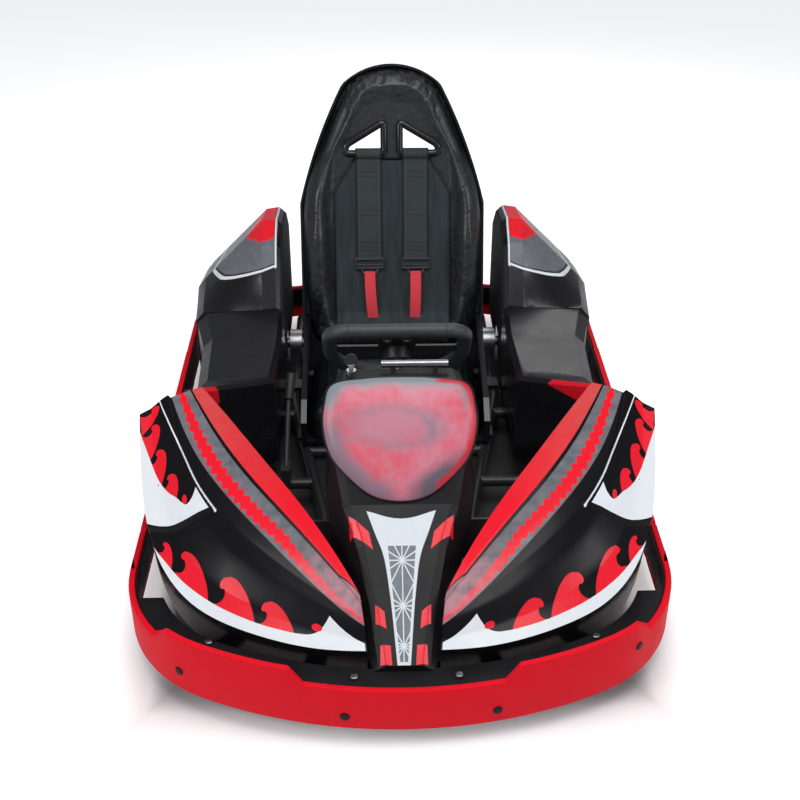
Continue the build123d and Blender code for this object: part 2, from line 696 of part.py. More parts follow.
def steering_column():
    """Straight shaft from the hub down to the coupling."""
    start = joint_centre()
    stop = wheel_centre() - column_axis() * (HUB_LENGTH + FIT)
    return rod(start, stop, COLUMN_R) - Pos(*start) * Sphere(BOOT_R + FIT)


def steering_shaft():
    """Upright shaft in the step bearing, with the arm that both tie rods hang on."""
    y, centre = FRONT_AXLE_Y, joint_centre()
    shaft = rod((0, y, STEP_BEARING_TOP - STEP_BEARING_DEPTH), (0, y, centre.Z), SHAFT_R)
    reach = ARM_PLATE / 2 + ROD_GAP + ROD_EYE + PIN_HEAD
    return shaft + steer_arm(0, y, FRONT_HUB_Z - reach, FRONT_HUB_Z + reach)


def coupling_boot():
    """Round rubber boot over the universal joint between column and shaft."""
    centre = joint_centre()
    shaft = rod((0, FRONT_AXLE_Y, 0), (0, FRONT_AXLE_Y, centre.Z + FIT), SHAFT_R + RUNNING)
    return Pos(*centre) * Sphere(BOOT_R) - shaft


def column_support(beam):
    """Two struts from the axle beam to the column bush, and the step bearing on the beam."""
    centre = wheel_centre() - column_axis() * BUSH_AT
    plane = Plane(centre - column_axis() * BUSH_LENGTH / 2, z_dir=column_axis())
    bush = plane * Cylinder(BUSH_R, BUSH_LENGTH, align=(Align.CENTER, Align.CENTER, Align.MIN))
    for side in (-1, 1):
        foot = (side * STRUT_FOOT_X, FRONT_AXLE_Y, TUBE_Z)
        bush += rod(foot, (side * BUSH_R * 0.6, centre.Y, centre.Z), STRUT_R)
    bore = rod(joint_centre(), wheel_centre(), COLUMN_R + RUNNING)
    step = rod((0, FRONT_AXLE_Y, TUBE_Z), (0, FRONT_AXLE_Y, STEP_BEARING_TOP), STEP_BEARING_R)
    bore_floor = STEP_BEARING_TOP - STEP_BEARING_DEPTH - 1
    step -= rod((0, FRONT_AXLE_Y, bore_floor), (0, FRONT_AXLE_Y, 2 * STEP_BEARING_TOP), SHAFT_R + RUNNING)
    return Compound(children=[*(bush - bore - beam).solids(), *(step - beam).solids()])


# Wheels


def revolved(profile, x, y, z):
    """A wheel part from a profile of (distance along the axle, radius) about an axle along X."""
    face = make_face(Polyline(*profile, close=True))
    turned = revolve(face, Axis.X)
    return Pos(x, y, z) * turned


def tyre(radius, width, bead, x, y, z):
    """A slick tyre with rounded shoulders, hollow at the bead."""
    half, wall, shoulder = width / 2, TYRE_WALL, TYRE_SHOULDER * width
    bulge = bead + 0.35 * (radius - bead)
    flank = [
        (half - 0.7 * shoulder, radius - TYRE_CROWN),
        (half - 2, radius - shoulder),
        (half, bulge),
        (half - wall, bead),
    ]
    return revolved([*[(-s, r) for s, r in reversed(flank)], (0, radius), *flank], x, y, z)


def rim(radius, width, bore, x, y, z):
    """A rim on the +X side: barrel under the tyre, two lips, drilled disc and hub."""
    half, wall, high = width / 2, RIM_WALL, radius + RIM_LIP
    disc, hub = x + 0.35 * half, 0.55 * half
    flank = [(half - 9, radius - FIT), (half - 6, high), (half - 2, high), (half - 2, radius - wall)]
    made = revolved([*flank, *[(-s, r) for s, r in reversed(flank)]], x, y, z)
    made += rod((disc - wall / 2, y, z), (disc + wall / 2, y, z), radius - wall + 1)
    made += rod((x - hub, y, z), (x + hub, y, z), bore + RIM_HUB_WALL)
    made -= rod((x - width, y, z), (x + width, y, z), bore + RUNNING)
    hole = Pos(0, 0, (radius + bore + wall / 2) / 2) * Rot(0, 90, 0) * Cylinder(RIM_HOLE_R, 5 * wall)
    for k in range(RIM_HOLES):
        made -= Pos(disc, y, z) * Rot(360 / RIM_HOLES * k, 0, 0) * hole
    return made


# Rear axle


def rear_axle():
    """Live axle shaft."""
    end = REAR_WHEEL_X + REAR_TYRE_WIDTH / 2 + AXLE_PROUD
    return rod((-end, REAR_AXLE_Y, REAR_TYRE_R), (end, REAR_AXLE_Y, REAR_TYRE_R), REAR_AXLE_R)


def bearing_carriers(rails):
    """Bearing blocks on the rails."""
    y, z = REAR_AXLE_Y, REAR_TYRE_R
    near, far = -RAIL_REAR_X + CARRIER_WIDTH / 2, -RAIL_REAR_X - CARRIER_WIDTH / 2
    half = CARRIER_LENGTH / 2
    block = box(far, near, y - half, y + half, TUBE_Z, z)
    block += rod((far, y, z), (near, y, z), half)
    bore = rod((-WIDTH, y, z), (WIDTH, y, z), REAR_AXLE_R + RUNNING)
    return both_sides(block - bore - rails)


def drive_unit():
    """Motor and final drive in one housing round the middle of the axle, on the rear cross tube."""
    y, z = REAR_AXLE_Y, REAR_TYRE_R
    half, motor_y = CASE_WIDTH / 2, BATTERY_FRONT_Y - MOTOR_ROOM - MOTOR_R
    made = rod((-half, y, z), (half, y, z), CASE_R)
    motor_z = z + MOTOR_RAISE
    made += rod((MOTOR_X, motor_y, motor_z), (MOTOR_X + MOTOR_LENGTH, motor_y, motor_z), MOTOR_R)
    for k in range(MOTOR_FINS):
        x = half + MOTOR_FIN + k * (MOTOR_X + MOTOR_LENGTH - half - 3 * MOTOR_FIN) / (MOTOR_FINS - 1)
        made += rod((x, motor_y, motor_z), (x + MOTOR_FIN, motor_y, motor_z), MOTOR_R + MOTOR_FIN_RISE)
    made += box(-half, half, y, motor_y, z - NECK_HALF, z + NECK_HALF)
    low, high = TUBE_Z - TUBE_R + 4, TUBE_Z + TUBE_R - 2
    made += box(-LUG_HALF, LUG_HALF, y + LUG_FRONT, REAR_TUBE_Y, low, high)
    made += box(-LUG_HALF, LUG_HALF, y + LUG_FRONT, motor_y, low, z)
    bore = rod((-WIDTH, y, z), (WIDTH, y, z), REAR_AXLE_R + FIT)
    tube = rod((-WIDTH, REAR_TUBE_Y, TUBE_Z), (WIDTH, REAR_TUBE_Y, TUBE_Z), TUBE_R + FIT)
    return made - bore - tube


def brake_disc():
    """Disc and its hub on the axle."""
    y, z = REAR_AXLE_Y, REAR_TYRE_R
    made = rod((DISC_X - DISC_WALL / 2, y, z), (DISC_X + DISC_WALL / 2, y, z), DISC_R)
    made += rod((DISC_X - DISC_HUB_HALF, y, z), (DISC_X + DISC_HUB_HALF, y, z), DISC_HUB_R)
    hole = Pos(0, 0, DISC_HOLE_AT) * Rot(0, 90, 0) * Cylinder(DISC_HOLE_R, 4 * DISC_WALL)
    for k in range(DISC_HOLES):
        made -= Pos(DISC_X, y, z) * Rot(360 / DISC_HOLES * k, 0, 0) * hole
    return made - rod((-WIDTH, y, z), (WIDTH, y, z), REAR_AXLE_R + RUNNING)


def brake_caliper(rails):
    """Caliper over the rear edge of the disc, on a bar to the rail."""
    edge, z = REAR_AXLE_Y + DISC_R, REAR_TYRE_R
    back = edge + CALIPER_BACK
    left, right = DISC_X - CALIPER_HALF, DISC_X + CALIPER_HALF
    body = box(left, right, edge - CALIPER_LAP, back, z - CALIPER_TALL, z + CALIPER_TALL)
    half = DISC_WALL / 2 + CALIPER_SLOT
    near, far = edge - 2 * CALIPER_LAP, edge + CALIPER_SLOT
    slot = box(DISC_X - half, DISC_X + half, near, far, z - DISC_R, z + DISC_R)
    bar = box(-RAIL_REAR_X, left + CALIPER_SLOT, back - CALIPER_BAR, back, TUBE_Z, z - NECK_HALF / 3)
    return (body - slot + bar) - rails


# Bodywork


def spine_face(y, top, half_top, half_base, base, shrink=0.0, drop=0.0):
    """One cross section of the nose spine: flat top, bevelled shoulders and leaning sides."""
    half = [
        (half_top - SPINE_BEVEL - shrink, top - shrink),
        (half_top - shrink, top - SPINE_BEVEL * 0.6 - shrink),
        (half_base - shrink, base - drop),
    ]
    points = [*half, *[(-x, z) for x, z in reversed(half)]]
    return polygon(Plane((0, y, 0), x_dir=(1, 0, 0), z_dir=(0, -1, 0)), points)


def nose_spine():
    """The moulded spine from the bumper up to the console, open below and at the back."""
    outer = loft([spine_face(*row) for row in SPINE_SECTIONS], ruled=True)
    inner_rows = [list(row) for row in SPINE_SECTIONS]
    inner_rows[0][0] += SPINE_WALL
    inner_rows[-1][0] += SPINE_WALL
    inner = loft([spine_face(*row, shrink=SPINE_WALL, drop=SPINE_WALL) for row in inner_rows], ruled=True)
    return outer - inner


def panel_plane():
    """Plane of the console's sloping top, x to the side and y up the slope."""
    low, high = SPINE_SECTIONS[3], SPINE_SECTIONS[5]
    return Plane((0, low[0], low[1]), x_dir=(1, 0, 0), z_dir=(0, low[1] - high[1], high[0] - low[0]))


def panel_length():
    low, high = SPINE_SECTIONS[3], SPINE_SECTIONS[5]
    return hypot(high[0] - low[0], high[1] - low[1])


def front_panel():
    """The shield-shaped panel on the console: round below, widest above its middle, arched at the top."""
    long = panel_length()
    wide = PANEL_HALF
    bottom, waist, top = (0, 3), (wide, 0.6 * long), (0.88 * wide, long - 8)
    edges = [
        ThreePointArc((-0.66 * wide, 0.2 * long), bottom, (0.66 * wide, 0.2 * long)),
        ThreePointArc((0.66 * wide, 0.2 * long), (0.9 * wide, 0.38 * long), waist),
        ThreePointArc(waist, (0.985 * wide, 0.8 * long), top),
        ThreePointArc(top, (0, long + 8), (-top[0], top[1])),
        ThreePointArc((-top[0], top[1]), (-0.985 * wide, 0.8 * long), (-waist[0], waist[1])),
        ThreePointArc((-waist[0], waist[1]), (-0.9 * wide, 0.38 * long), (-0.66 * wide, 0.2 * long)),
    ]
    outline = make_face(edges)
    middle = Pos(0, 0.5 * long, 0)
    centred = middle.inverse() * outline
    sections = [Pos(0, 0, rise) * middle * scale(centred, by=share) for share, rise in PANEL_RISE]
    return panel_plane() * Pos(0, 0, FIT) * loft(sections, ruled=True)


def upright_face(start, end, points):
    """A face in the upright plane through two points in plan, from points of run and height."""
    along = Vector(end[0] - start[0], end[1] - start[1], 0).normalized()
    plane = Plane((start[0], start[1], 0), x_dir=along, z_dir=along.cross(Vector(0, 0, 1)))
    return polygon(plane, points)


def fairing_line(station):
    """Outer line of one fairing section as run and height: rim flange, crowned top and skirt."""
    rim_point, lip_point, lean, foot = station
    wide = hypot(lip_point[0] - rim_point[0], lip_point[1] - rim_point[1])
    fall = lip_point[2] - rim_point[2]
    top = [(v * wide, rim_point[2] + v * fall + rise * wide) for v, rise in FAIRING_PROFILE]
    return [(0, rim_point[2] - FAIRING_RIM_DEPTH), *top, (wide - lean, foot)]


def cheek_face(station):
    """One cross section of the raised cheek: a strip that starts inside the shell and stands proud of it."""
    rim_point, lip_point, lean, foot = station
    wide = hypot(lip_point[0] - rim_point[0], lip_point[1] - rim_point[1])
    shares = [CHEEK_INNER, *[v for v, rise in FAIRING_PROFILE if v > CHEEK_INNER]]
    low = []
    for v in shares:
        rise = next(b + (a - b) * (q - v) / (q - p) for (p, a), (q, b) in PROFILE_STEPS if p <= v <= q)
        low.append((v * wide, rim_point[2] + v * (lip_point[2] - rim_point[2]) + rise * wide))
    inner = [(s, z - FAIRING_WALL / 2) for s, z in low]
    inner[-1] = (inner[-1][0] - FAIRING_WALL / 2, inner[-1][1])
    outer = [(s, z + CHEEK_RISE) for s, z in low]
    outer[0] = (outer[0][0] + CHEEK_RISE, outer[0][1])
    side = (wide - lean / 4, lip_point[2] - 3 * CHEEK_RISE)
    return upright_face(rim_point, lip_point, [*outer, side, *reversed(inner)])


def fairing_face(station):
    """One cross section of the fairing's shell, a closed strip of even thickness."""
    line = fairing_line(station)
    return upright_face(station[0], station[1], [*line, *reversed(inner_line(line, FAIRING_WALL))])


def inner_line(line, wall):
    """The line moved by the wall thickness to its inner side, mitred at the corners."""
    moved = []
    for k, (s, z) in enumerate(line):
        before, after = line[max(0, k - 1)], line[min(len(line) - 1, k + 1)]
        one = side_normal(before, (s, z)) if k else side_normal((s, z), after)
        two = side_normal((s, z), after) if k < len(line) - 1 else one
        total = (one[0] + two[0], one[1] + two[1])
        scale = 2 / (total[0] ** 2 + total[1] ** 2)
        moved.append((s + wall * total[0] * scale, z + wall * total[1] * scale))
    return moved


def side_normal(a, b):
    """Unit normal on the right-hand side of the step from a to b."""
    length = hypot(b[0] - a[0], b[1] - a[1])
    return (b[1] - a[1]) / length, (a[0] - b[0]) / length


def fairing():
    """The +X front fairing: a smooth shell from the nose out and back over the front wheel."""
    shell = loft([fairing_face(station) for station in FAIRING_STATIONS])
    cheek = loft([cheek_face(station) for station in FAIRING_STATIONS])
    shell += cheek & box(0, WIDTH, CHEEK_Y, LENGTH, 0, LENGTH)
    return shell - box(-WIDTH, WIDTH, -LENGTH, LENGTH, 0, FAIRING_BASE)


def side_pod():
    """Closed pod beside the seat on the +X side."""
    faces = []
    for inner, outer, inner_top, outer_top in POD_SECTIONS:
        wide = hypot(outer[0] - inner[0], outer[1] - inner[1])
        points = [
            (0, POD_BOTTOM),
            (0, inner_top - POD_EDGE),
            (POD_EDGE, inner_top),
            (wide - 2 * POD_EDGE, outer_top),
            (wide, outer_top - 2 * POD_EDGE),
            (wide, POD_BOTTOM),
        ]
        faces.append(upright_face(inner, outer, points))
    return loft(faces, ruled=True)


def cover_face(y, inner, outer, inner_top, outer_top, shrink=0.0, bottom=COVER_BOTTOM):
    """One cross section of the rear cover: high inner shoulder, long slope and upright flank."""
    points = [
        (inner + shrink, bottom),
        (inner + shrink, inner_top - COVER_SHOULDER - shrink),
        (inner + COVER_SHOULDER + shrink / 2, inner_top - shrink),
        (inner + COVER_CROWN + shrink / 2, inner_top - COVER_SINK - shrink),
        (outer - COVER_EDGE - shrink / 2, outer_top - shrink),
        (outer - shrink, outer_top - COVER_EDGE_DROP - shrink),
        (outer - shrink, bottom),
    ]
    return polygon(Plane((0, y, 0), x_dir=(1, 0, 0), z_dir=(0, -1, 0)), points)


def rear_cover():
    """Hollow cover over the +X rear wheel, high beside the seat and sloping outwards, open below."""
    outer = loft([cover_face(*row) for row in COVER_SECTIONS], ruled=True)
    rows = [list(row) for row in COVER_SECTIONS]
    rows[0][0] += COVER_WALL
    rows[-1][0] -= COVER_WALL
    low = COVER_BOTTOM - 2 * COVER_WALL
    inner = loft([cover_face(*row, shrink=COVER_WALL, bottom=low) for row in rows], ruled=True)
    high = REAR_TYRE_R + CARRIER_LENGTH / 2 + ARCH_ROOM
    front, rear = REAR_AXLE_Y - ARCH_HALF, REAR_AXLE_Y + ARCH_HALF
    arch = box(RAIL_REAR_X, RAIL_REAR_X + ARCH_WIDTH, front, rear, 0, high)
    return outer - inner - arch


# Seat


def seat_plane(offset=0.0):
    """The seat back's plane: x to the side, y up the back, z towards the driver."""
    lean = radians(SEAT_LEAN)
    facing = Vector(0, -cos(lean), sin(lean))
    return Plane(Vector(0, SEAT_HIP_Y, SEAT_HIP_Z) + facing * offset, x_dir=(1, 0, 0), z_dir=facing)


def seat_outline(inset=0.0, bottom=0.0):
    """Back outline: straight flanks, sloping shoulders and a round head."""
    half, head = SEAT_HALF - inset, SEAT_HEAD_HALF - inset
    slope = (0.5 * (half + head) + 12, 0.5 * (SEAT_SHOULDER + SEAT_HEAD))
    edges = [
        Line((-half, bottom), (half, bottom)),
        Line((half, bottom), (half, SEAT_SHOULDER)),
        ThreePointArc((half, SEAT_SHOULDER), slope, (head, SEAT_HEAD)),
        ThreePointArc((head, SEAT_HEAD), (0, SEAT_HEIGHT - inset), (-head, SEAT_HEAD)),
        ThreePointArc((-head, SEAT_HEAD), (-slope[0], slope[1]), (-half, SEAT_SHOULDER)),
        Line((-half, SEAT_SHOULDER), (-half, bottom)),
    ]
    outline = make_face(edges)
    corners = outline.vertices().filter_by_position(Axis.Y, SEAT_SHOULDER - 1, SEAT_HEIGHT)
    return fillet(corners, SEAT_ROUND)


def slot_face(side, grow=0.0):
    """A harness slot: higher at its inner end."""
    points = [
        (side * (SLOT_IN - grow), SLOT_LOW - grow),
        (side * (SLOT_OUT + grow), SLOT_LOW - grow),
        (side * (SLOT_OUT + grow), SLOT_OUTER_TOP + grow),
        (side * (SLOT_IN - grow), SLOT_INNER_TOP + grow),
    ]
    return fillet(make_face(Polyline(*points, close=True)).vertices(), SLOT_ROUND)


def slots(grow, low, high):
    """Both slots as blocks between two depths in the seat's plane."""
    return [seat_plane(low) * extrude(slot_face(side, grow), amount=high - low) for side in (-1, 1)]


def seat_shell():
    """Moulded bucket: leaning back and a tray with raised sides."""
    back = seat_plane(-SHELL_WALL) * extrude(seat_outline(0, SEAT_ROOT), amount=SHELL_WALL)
    rear = BASE_REAR_Y
    side_line = [
        (BASE_FRONT_Y, BASE_BOTTOM),
        (BASE_FRONT_Y, BASE_SIDE_FRONT - BASE_CORNER_RISE),
        (BASE_FRONT_Y + BASE_CORNER_RUN, BASE_SIDE_FRONT),
        (rear, BASE_SIDE_REAR),
        (rear, BASE_BOTTOM),
    ]
    wall = extrude(polygon(Plane.YZ, side_line), amount=BASE_WALL)
    sides = Pos(-BASE_HALF, 0, 0) * wall + Pos(BASE_HALF - BASE_WALL, 0, 0) * wall
    floor = box(-BASE_HALF, BASE_HALF, BASE_FRONT_Y, rear, BASE_BOTTOM, BASE_BOTTOM + BASE_FLOOR)
    lip_face = seat_outline(0, SEAT_ROOT) - seat_outline(SHELL_LIP, SEAT_ROOT - SHELL_LIP)
    lip = seat_plane(-SHELL_LIP) * extrude(lip_face, amount=SHELL_LIP + SHELL_LIP_RISE)
    made = back + lip + sides + floor
    for cut in slots(BEZEL, -2 * SHELL_WALL, SHELL_WALL):
        made -= cut
    return made & box(-WIDTH, WIDTH, -LENGTH, LENGTH, BASE_BOTTOM, 2 * SEAT_HEIGHT)


def seat_back_pad():
    """Upholstered front of the back with two bolsters, a plain solid."""
    pad = seat_plane(FIT) * extrude(seat_outline(PAD_INSET, PAD_LOW), amount=PAD)
    inner, outer, foot = BOLSTER_INNER, SEAT_HALF - PAD_INSET, PAD - 2
    lifted = seat_plane(FIT)
    for side in (-1, 1):
        faces = []
        for height, share in BOLSTER_ROWS:
            top = PAD + BOLSTER * share
            high = [(outer - BOLSTER_ROUND_OUT, top), (inner + BOLSTER_ROUND_IN, top)]
            points = [(inner, foot), (outer, foot), *high]
            middle = lifted.origin + lifted.y_dir * height
            section = Plane(middle, x_dir=lifted.x_dir, z_dir=lifted.y_dir * -1)
            faces.append(polygon(section, [(side * x, z) for x, z in points]))
        pad += loft(faces, ruled=True)
    for cut in slots(BEZEL, -SHELL_WALL, 2 * PAD):
        pad -= cut
    clear = box(-WIDTH, WIDTH, -LENGTH, LENGTH, CUSHION_TOP + 2, 2 * SEAT_HEIGHT)
    wall = box(BASE_HALF - BASE_WALL - 1, SEAT_HALF, 0, BASE_REAR_Y + 1, 0, BASE_SIDE_REAR + 1)
    return (pad & clear) - wall - mirror(wall, Plane.YZ)


def seat_cushion():
    """Plain solid of the seat cushion in the tray."""
    half = BASE_HALF - BASE_WALL - 1
    bottom = BASE_BOTTOM + BASE_FLOOR + FIT
    block = box(-half, half, BASE_FRONT_Y, BASE_REAR_Y, bottom, CUSHION_TOP)
    behind = seat_plane(FIT) * Pos(0, 0, -LENGTH / 2) * Box(2 * WIDTH, 2 * LENGTH, LENGTH)
    return block - behind


def harness_bezels():
    """Frames lining the two harness slots."""
    low, high = -SHELL_WALL + 1, PAD + BEZEL_PROUD
    solids = []
    for outer, inner in zip(slots(BEZEL - FIT, low, high), slots(0, low - 1, high + 1)):
        solids += (outer - inner).solids()
    return Compound(children=solids)


def shoulder_belts():
    """Two straps that come through the slots, over the bezels and down the back pad."""
    face, proud = PAD + 2 * FIT, PAD + BEZEL_PROUD + 2 * FIT
    low, high = SLOT_LOW - 4 * BEZEL, SLOT_LOW - BEZEL - 1
    sill = SLOT_LOW + 1
    back = [(BELT_LOW, face), (low, face), (high, proud), (sill, proud), (sill, -2 * SHELL_WALL)]
    turn = sill + BELT_SHEET
    front = [(turn, -2 * SHELL_WALL), (turn, proud + BELT_SHEET), (high, proud + BELT_SHEET)]
    front += [(low, face + BELT_SHEET), (BELT_LOW, face + BELT_SHEET)]
    strap = extrude(polygon(Plane.YZ, [*back, *front]), amount=BELT_WIDTH)
    solids = [seat_plane() * Pos(side * BELT_X - BELT_WIDTH / 2, 0, 0) * strap for side in (-1, 1)]
    return Compound(children=[solid for piece in solids for solid in piece.solids()])


def belt_adjusters():
    """Slide adjusters at the lower ends of the shoulder straps."""
    solids = []
    front = PAD + 3 * FIT + BELT_SHEET
    for side in (-1, 1):
        x, half = side * BELT_X, BELT_WIDTH / 2 + ADJUSTER_LAP
        low = BELT_LOW - ADJUSTER_LAP
        body = box(x - half, x + half, low, low + ADJUSTER_HEIGHT, front, front + ADJUSTER_DEPTH)
        solids += (seat_plane() * fillet(body.edges().filter_by(Axis.Z), ADJUSTER_LAP)).solids()
    return Compound(children=solids)


def belt_tabs():
    """Red pull tabs that hang from the adjusters."""
    solids = []
    front = PAD + 3 * FIT + BELT_SHEET
    top = BELT_LOW - ADJUSTER_LAP - FIT
    for side in (-1, 1):
        x, half = side * BELT_X, TAB_WIDTH / 2
        tab = box(x - half, x + half, top - TAB_LENGTH, top, front, front + TAB_SHEET)
        solids += (seat_plane() * tab).solids()
    return Compound(children=solids)


def seat_bearers():
    """Flat bars from rail to rail under the seat."""
    top = BASE_BOTTOM - FIT
    bottom = TUBE_Z + TUBE_R + FIT
    solids = []
    for y in (BASE_FRONT_Y + BASE_CORNER_RUN, SEAT_HIP_Y - BEARER_FROM_HIP):
        half = rail_x(y) + TUBE_R
        solids += box(-half, half, y - BEARER_HALF, y + BEARER_HALF, bottom, top).solids()
    return Compound(children=solids)


# Controls


def pedal(side, beam):
    """Sleeve on the axle beam, arm and ribbed plate."""
    y, stem = FRONT_AXLE_Y, side * PEDAL_ARM_X
    x, half = side * PEDAL_X, PEDAL_WIDTH / 2
    ends = [(stem + end * PEDAL_SLEEVE / 2, y, TUBE_Z) for end in (-1, 1)]
    made = rod(*ends, TUBE_R + PEDAL_COLLAR)
    low, face = TUBE_Z + PEDAL_LOW, y + PEDAL_STEM + 2
    high = low + PEDAL_HEIGHT
    stem_ends = stem - PEDAL_STEM_HALF, stem + PEDAL_STEM_HALF
    made += box(*stem_ends, face + PEDAL_RIB - PEDAL_STEM, face + PEDAL_RIB, TUBE_Z, (low + high) / 2)
    made += box(x - half, x + half, face, face + PEDAL_PLATE, low, high)
    rib_half = half - 2 * PEDAL_RIB
    for k in range(PEDAL_RIBS):
        z = low + PEDAL_MARGIN + k * (PEDAL_HEIGHT - 2 * PEDAL_MARGIN) / (PEDAL_RIBS - 1)
        rib_face = face + PEDAL_PLATE + PEDAL_RIB
        made += box(x - rib_half, x + rib_half, face, rib_face, z - PEDAL_RIB, z + PEDAL_RIB)
    below = box(-WIDTH, WIDTH, -LENGTH, LENGTH, 0, TUBE_Z - TUBE_R)
    return made - beam - below


def brake_linkage():
    """Clevis and rod from the brake pedal forward to the master cylinder on its bracket."""
    x, y, z = PEDAL_ARM_X, FRONT_AXLE_Y, TUBE_Z + LINK_RISE
    stem_front = y + PEDAL_STEM + 2 + PEDAL_RIB - PEDAL_STEM
    ends = x - CLEVIS_HALF, x + CLEVIS_HALF
    made = box(*ends, y - CLEVIS_LONG, stem_front - FIT, z - CLEVIS_TALL, z + CLEVIS_TALL)
    made += rod((x, y - CLEVIS_LONG / 2, z), (x, y - MASTER_REAR - CLEVIS_LONG / 2, z), LINK_R)
    made += rod((x, y - MASTER_REAR, z), (x, y - MASTER_FRONT, z), MASTER_R)
    middle, half = y - (MASTER_REAR + MASTER_FRONT) / 2, 0.75 * (MASTER_FRONT - MASTER_REAR) / 2
    sides = x - MASTER_BRACKET, x + MASTER_BRACKET
    return made + box(*sides, middle - half, middle + half, TUBE_Z - TUBE_R, z)


def drift_lever(arm):
    """Hand lever on the -X side arm in front of the seat."""
    x, y, half = LEVER_X, LEVER_Y, LEVER_BASE_HALF
    top = TUBE_Z + LEVER_BASE_TALL
    base = box(x - half, x + half, y - LEVER_BASE_LONG, y + LEVER_BASE_LONG, TUBE_Z, top)
    knee = (x + LEVER_LEAN, y + LEVER_STEM_RUN, LEVER_TOP - LEVER_GRIP_RISE + 4)
    stem = rod((x, y, top - LEVER_STEM_R), knee, LEVER_STEM_R)
    tip = (knee[0] + LEVER_LEAN, knee[1] + LEVER_GRIP_RUN, knee[2] + LEVER_GRIP_RISE)
    return (base + stem + rod(knee, tip, LEVER_GRIP_R)) - arm


def key_switch():
    """Ignition lock with its key on the console's deck."""
    x, y, z = KEY_X, DECK_Y - KEY_FROM_EDGE, DECK_Z + FIT
    lock = Pos(x, y, z) * Cylinder(LOCK_R, LOCK_TALL, align=(Align.CENTER, Align.CENTER, Align.MIN))
    top, half = z + LOCK_TALL, KEY_SHEET / 2
    blade = box(x - KEY_BLADE_HALF, x + KEY_BLADE_HALF, y - half, y + half, top, top + KEY_BLADE)
    head = Rot(90, 0, 0) * Cylinder(KEY_HEAD_R, 2 * KEY_SHEET)
    head = Pos(x, y, top + KEY_BLADE + 0.8 * KEY_HEAD_R) * head
    return lock + blade + head


def dash_bar():
    """Bright bar along the console's back edge on two short posts."""
    y, low = DECK_Y - DASH_BAR_FROM_EDGE, DECK_Z + FIT
    z = low + DASH_BAR_TALL
    bar = rod((DASH_BAR_LEFT, y, z), (DASH_BAR_RIGHT, y, z), DASH_BAR_R)
    for x in (DASH_BAR_LEFT + DASH_POST_IN, DASH_BAR_RIGHT - DASH_POST_IN):
        bar += rod((x, y, low), (x, y, z), DASH_POST_R)
    return bar


def battery_box():
    """Ribbed battery case with a flat lid behind the seat, on the rear cross tube."""
    bottom, half, sink = TUBE_Z + TUBE_R + FIT, BATTERY_HALF, BATTERY_SINK
    front, rear = BATTERY_FRONT_Y, BATTERY_REAR_Y
    made = box(-half + sink, half - sink, front + sink, rear - sink, bottom, BATTERY_TOP)
    made += box(-half, half, front, rear, BATTERY_TOP - BATTERY_LID, BATTERY_TOP)
    for k in range(BATTERY_RIBS):
        x = -half + k * (2 * half - BATTERY_RIB) / (BATTERY_RIBS - 1)
        made += box(x, x + BATTERY_RIB, front, rear, bottom, BATTERY_TOP)
    return made


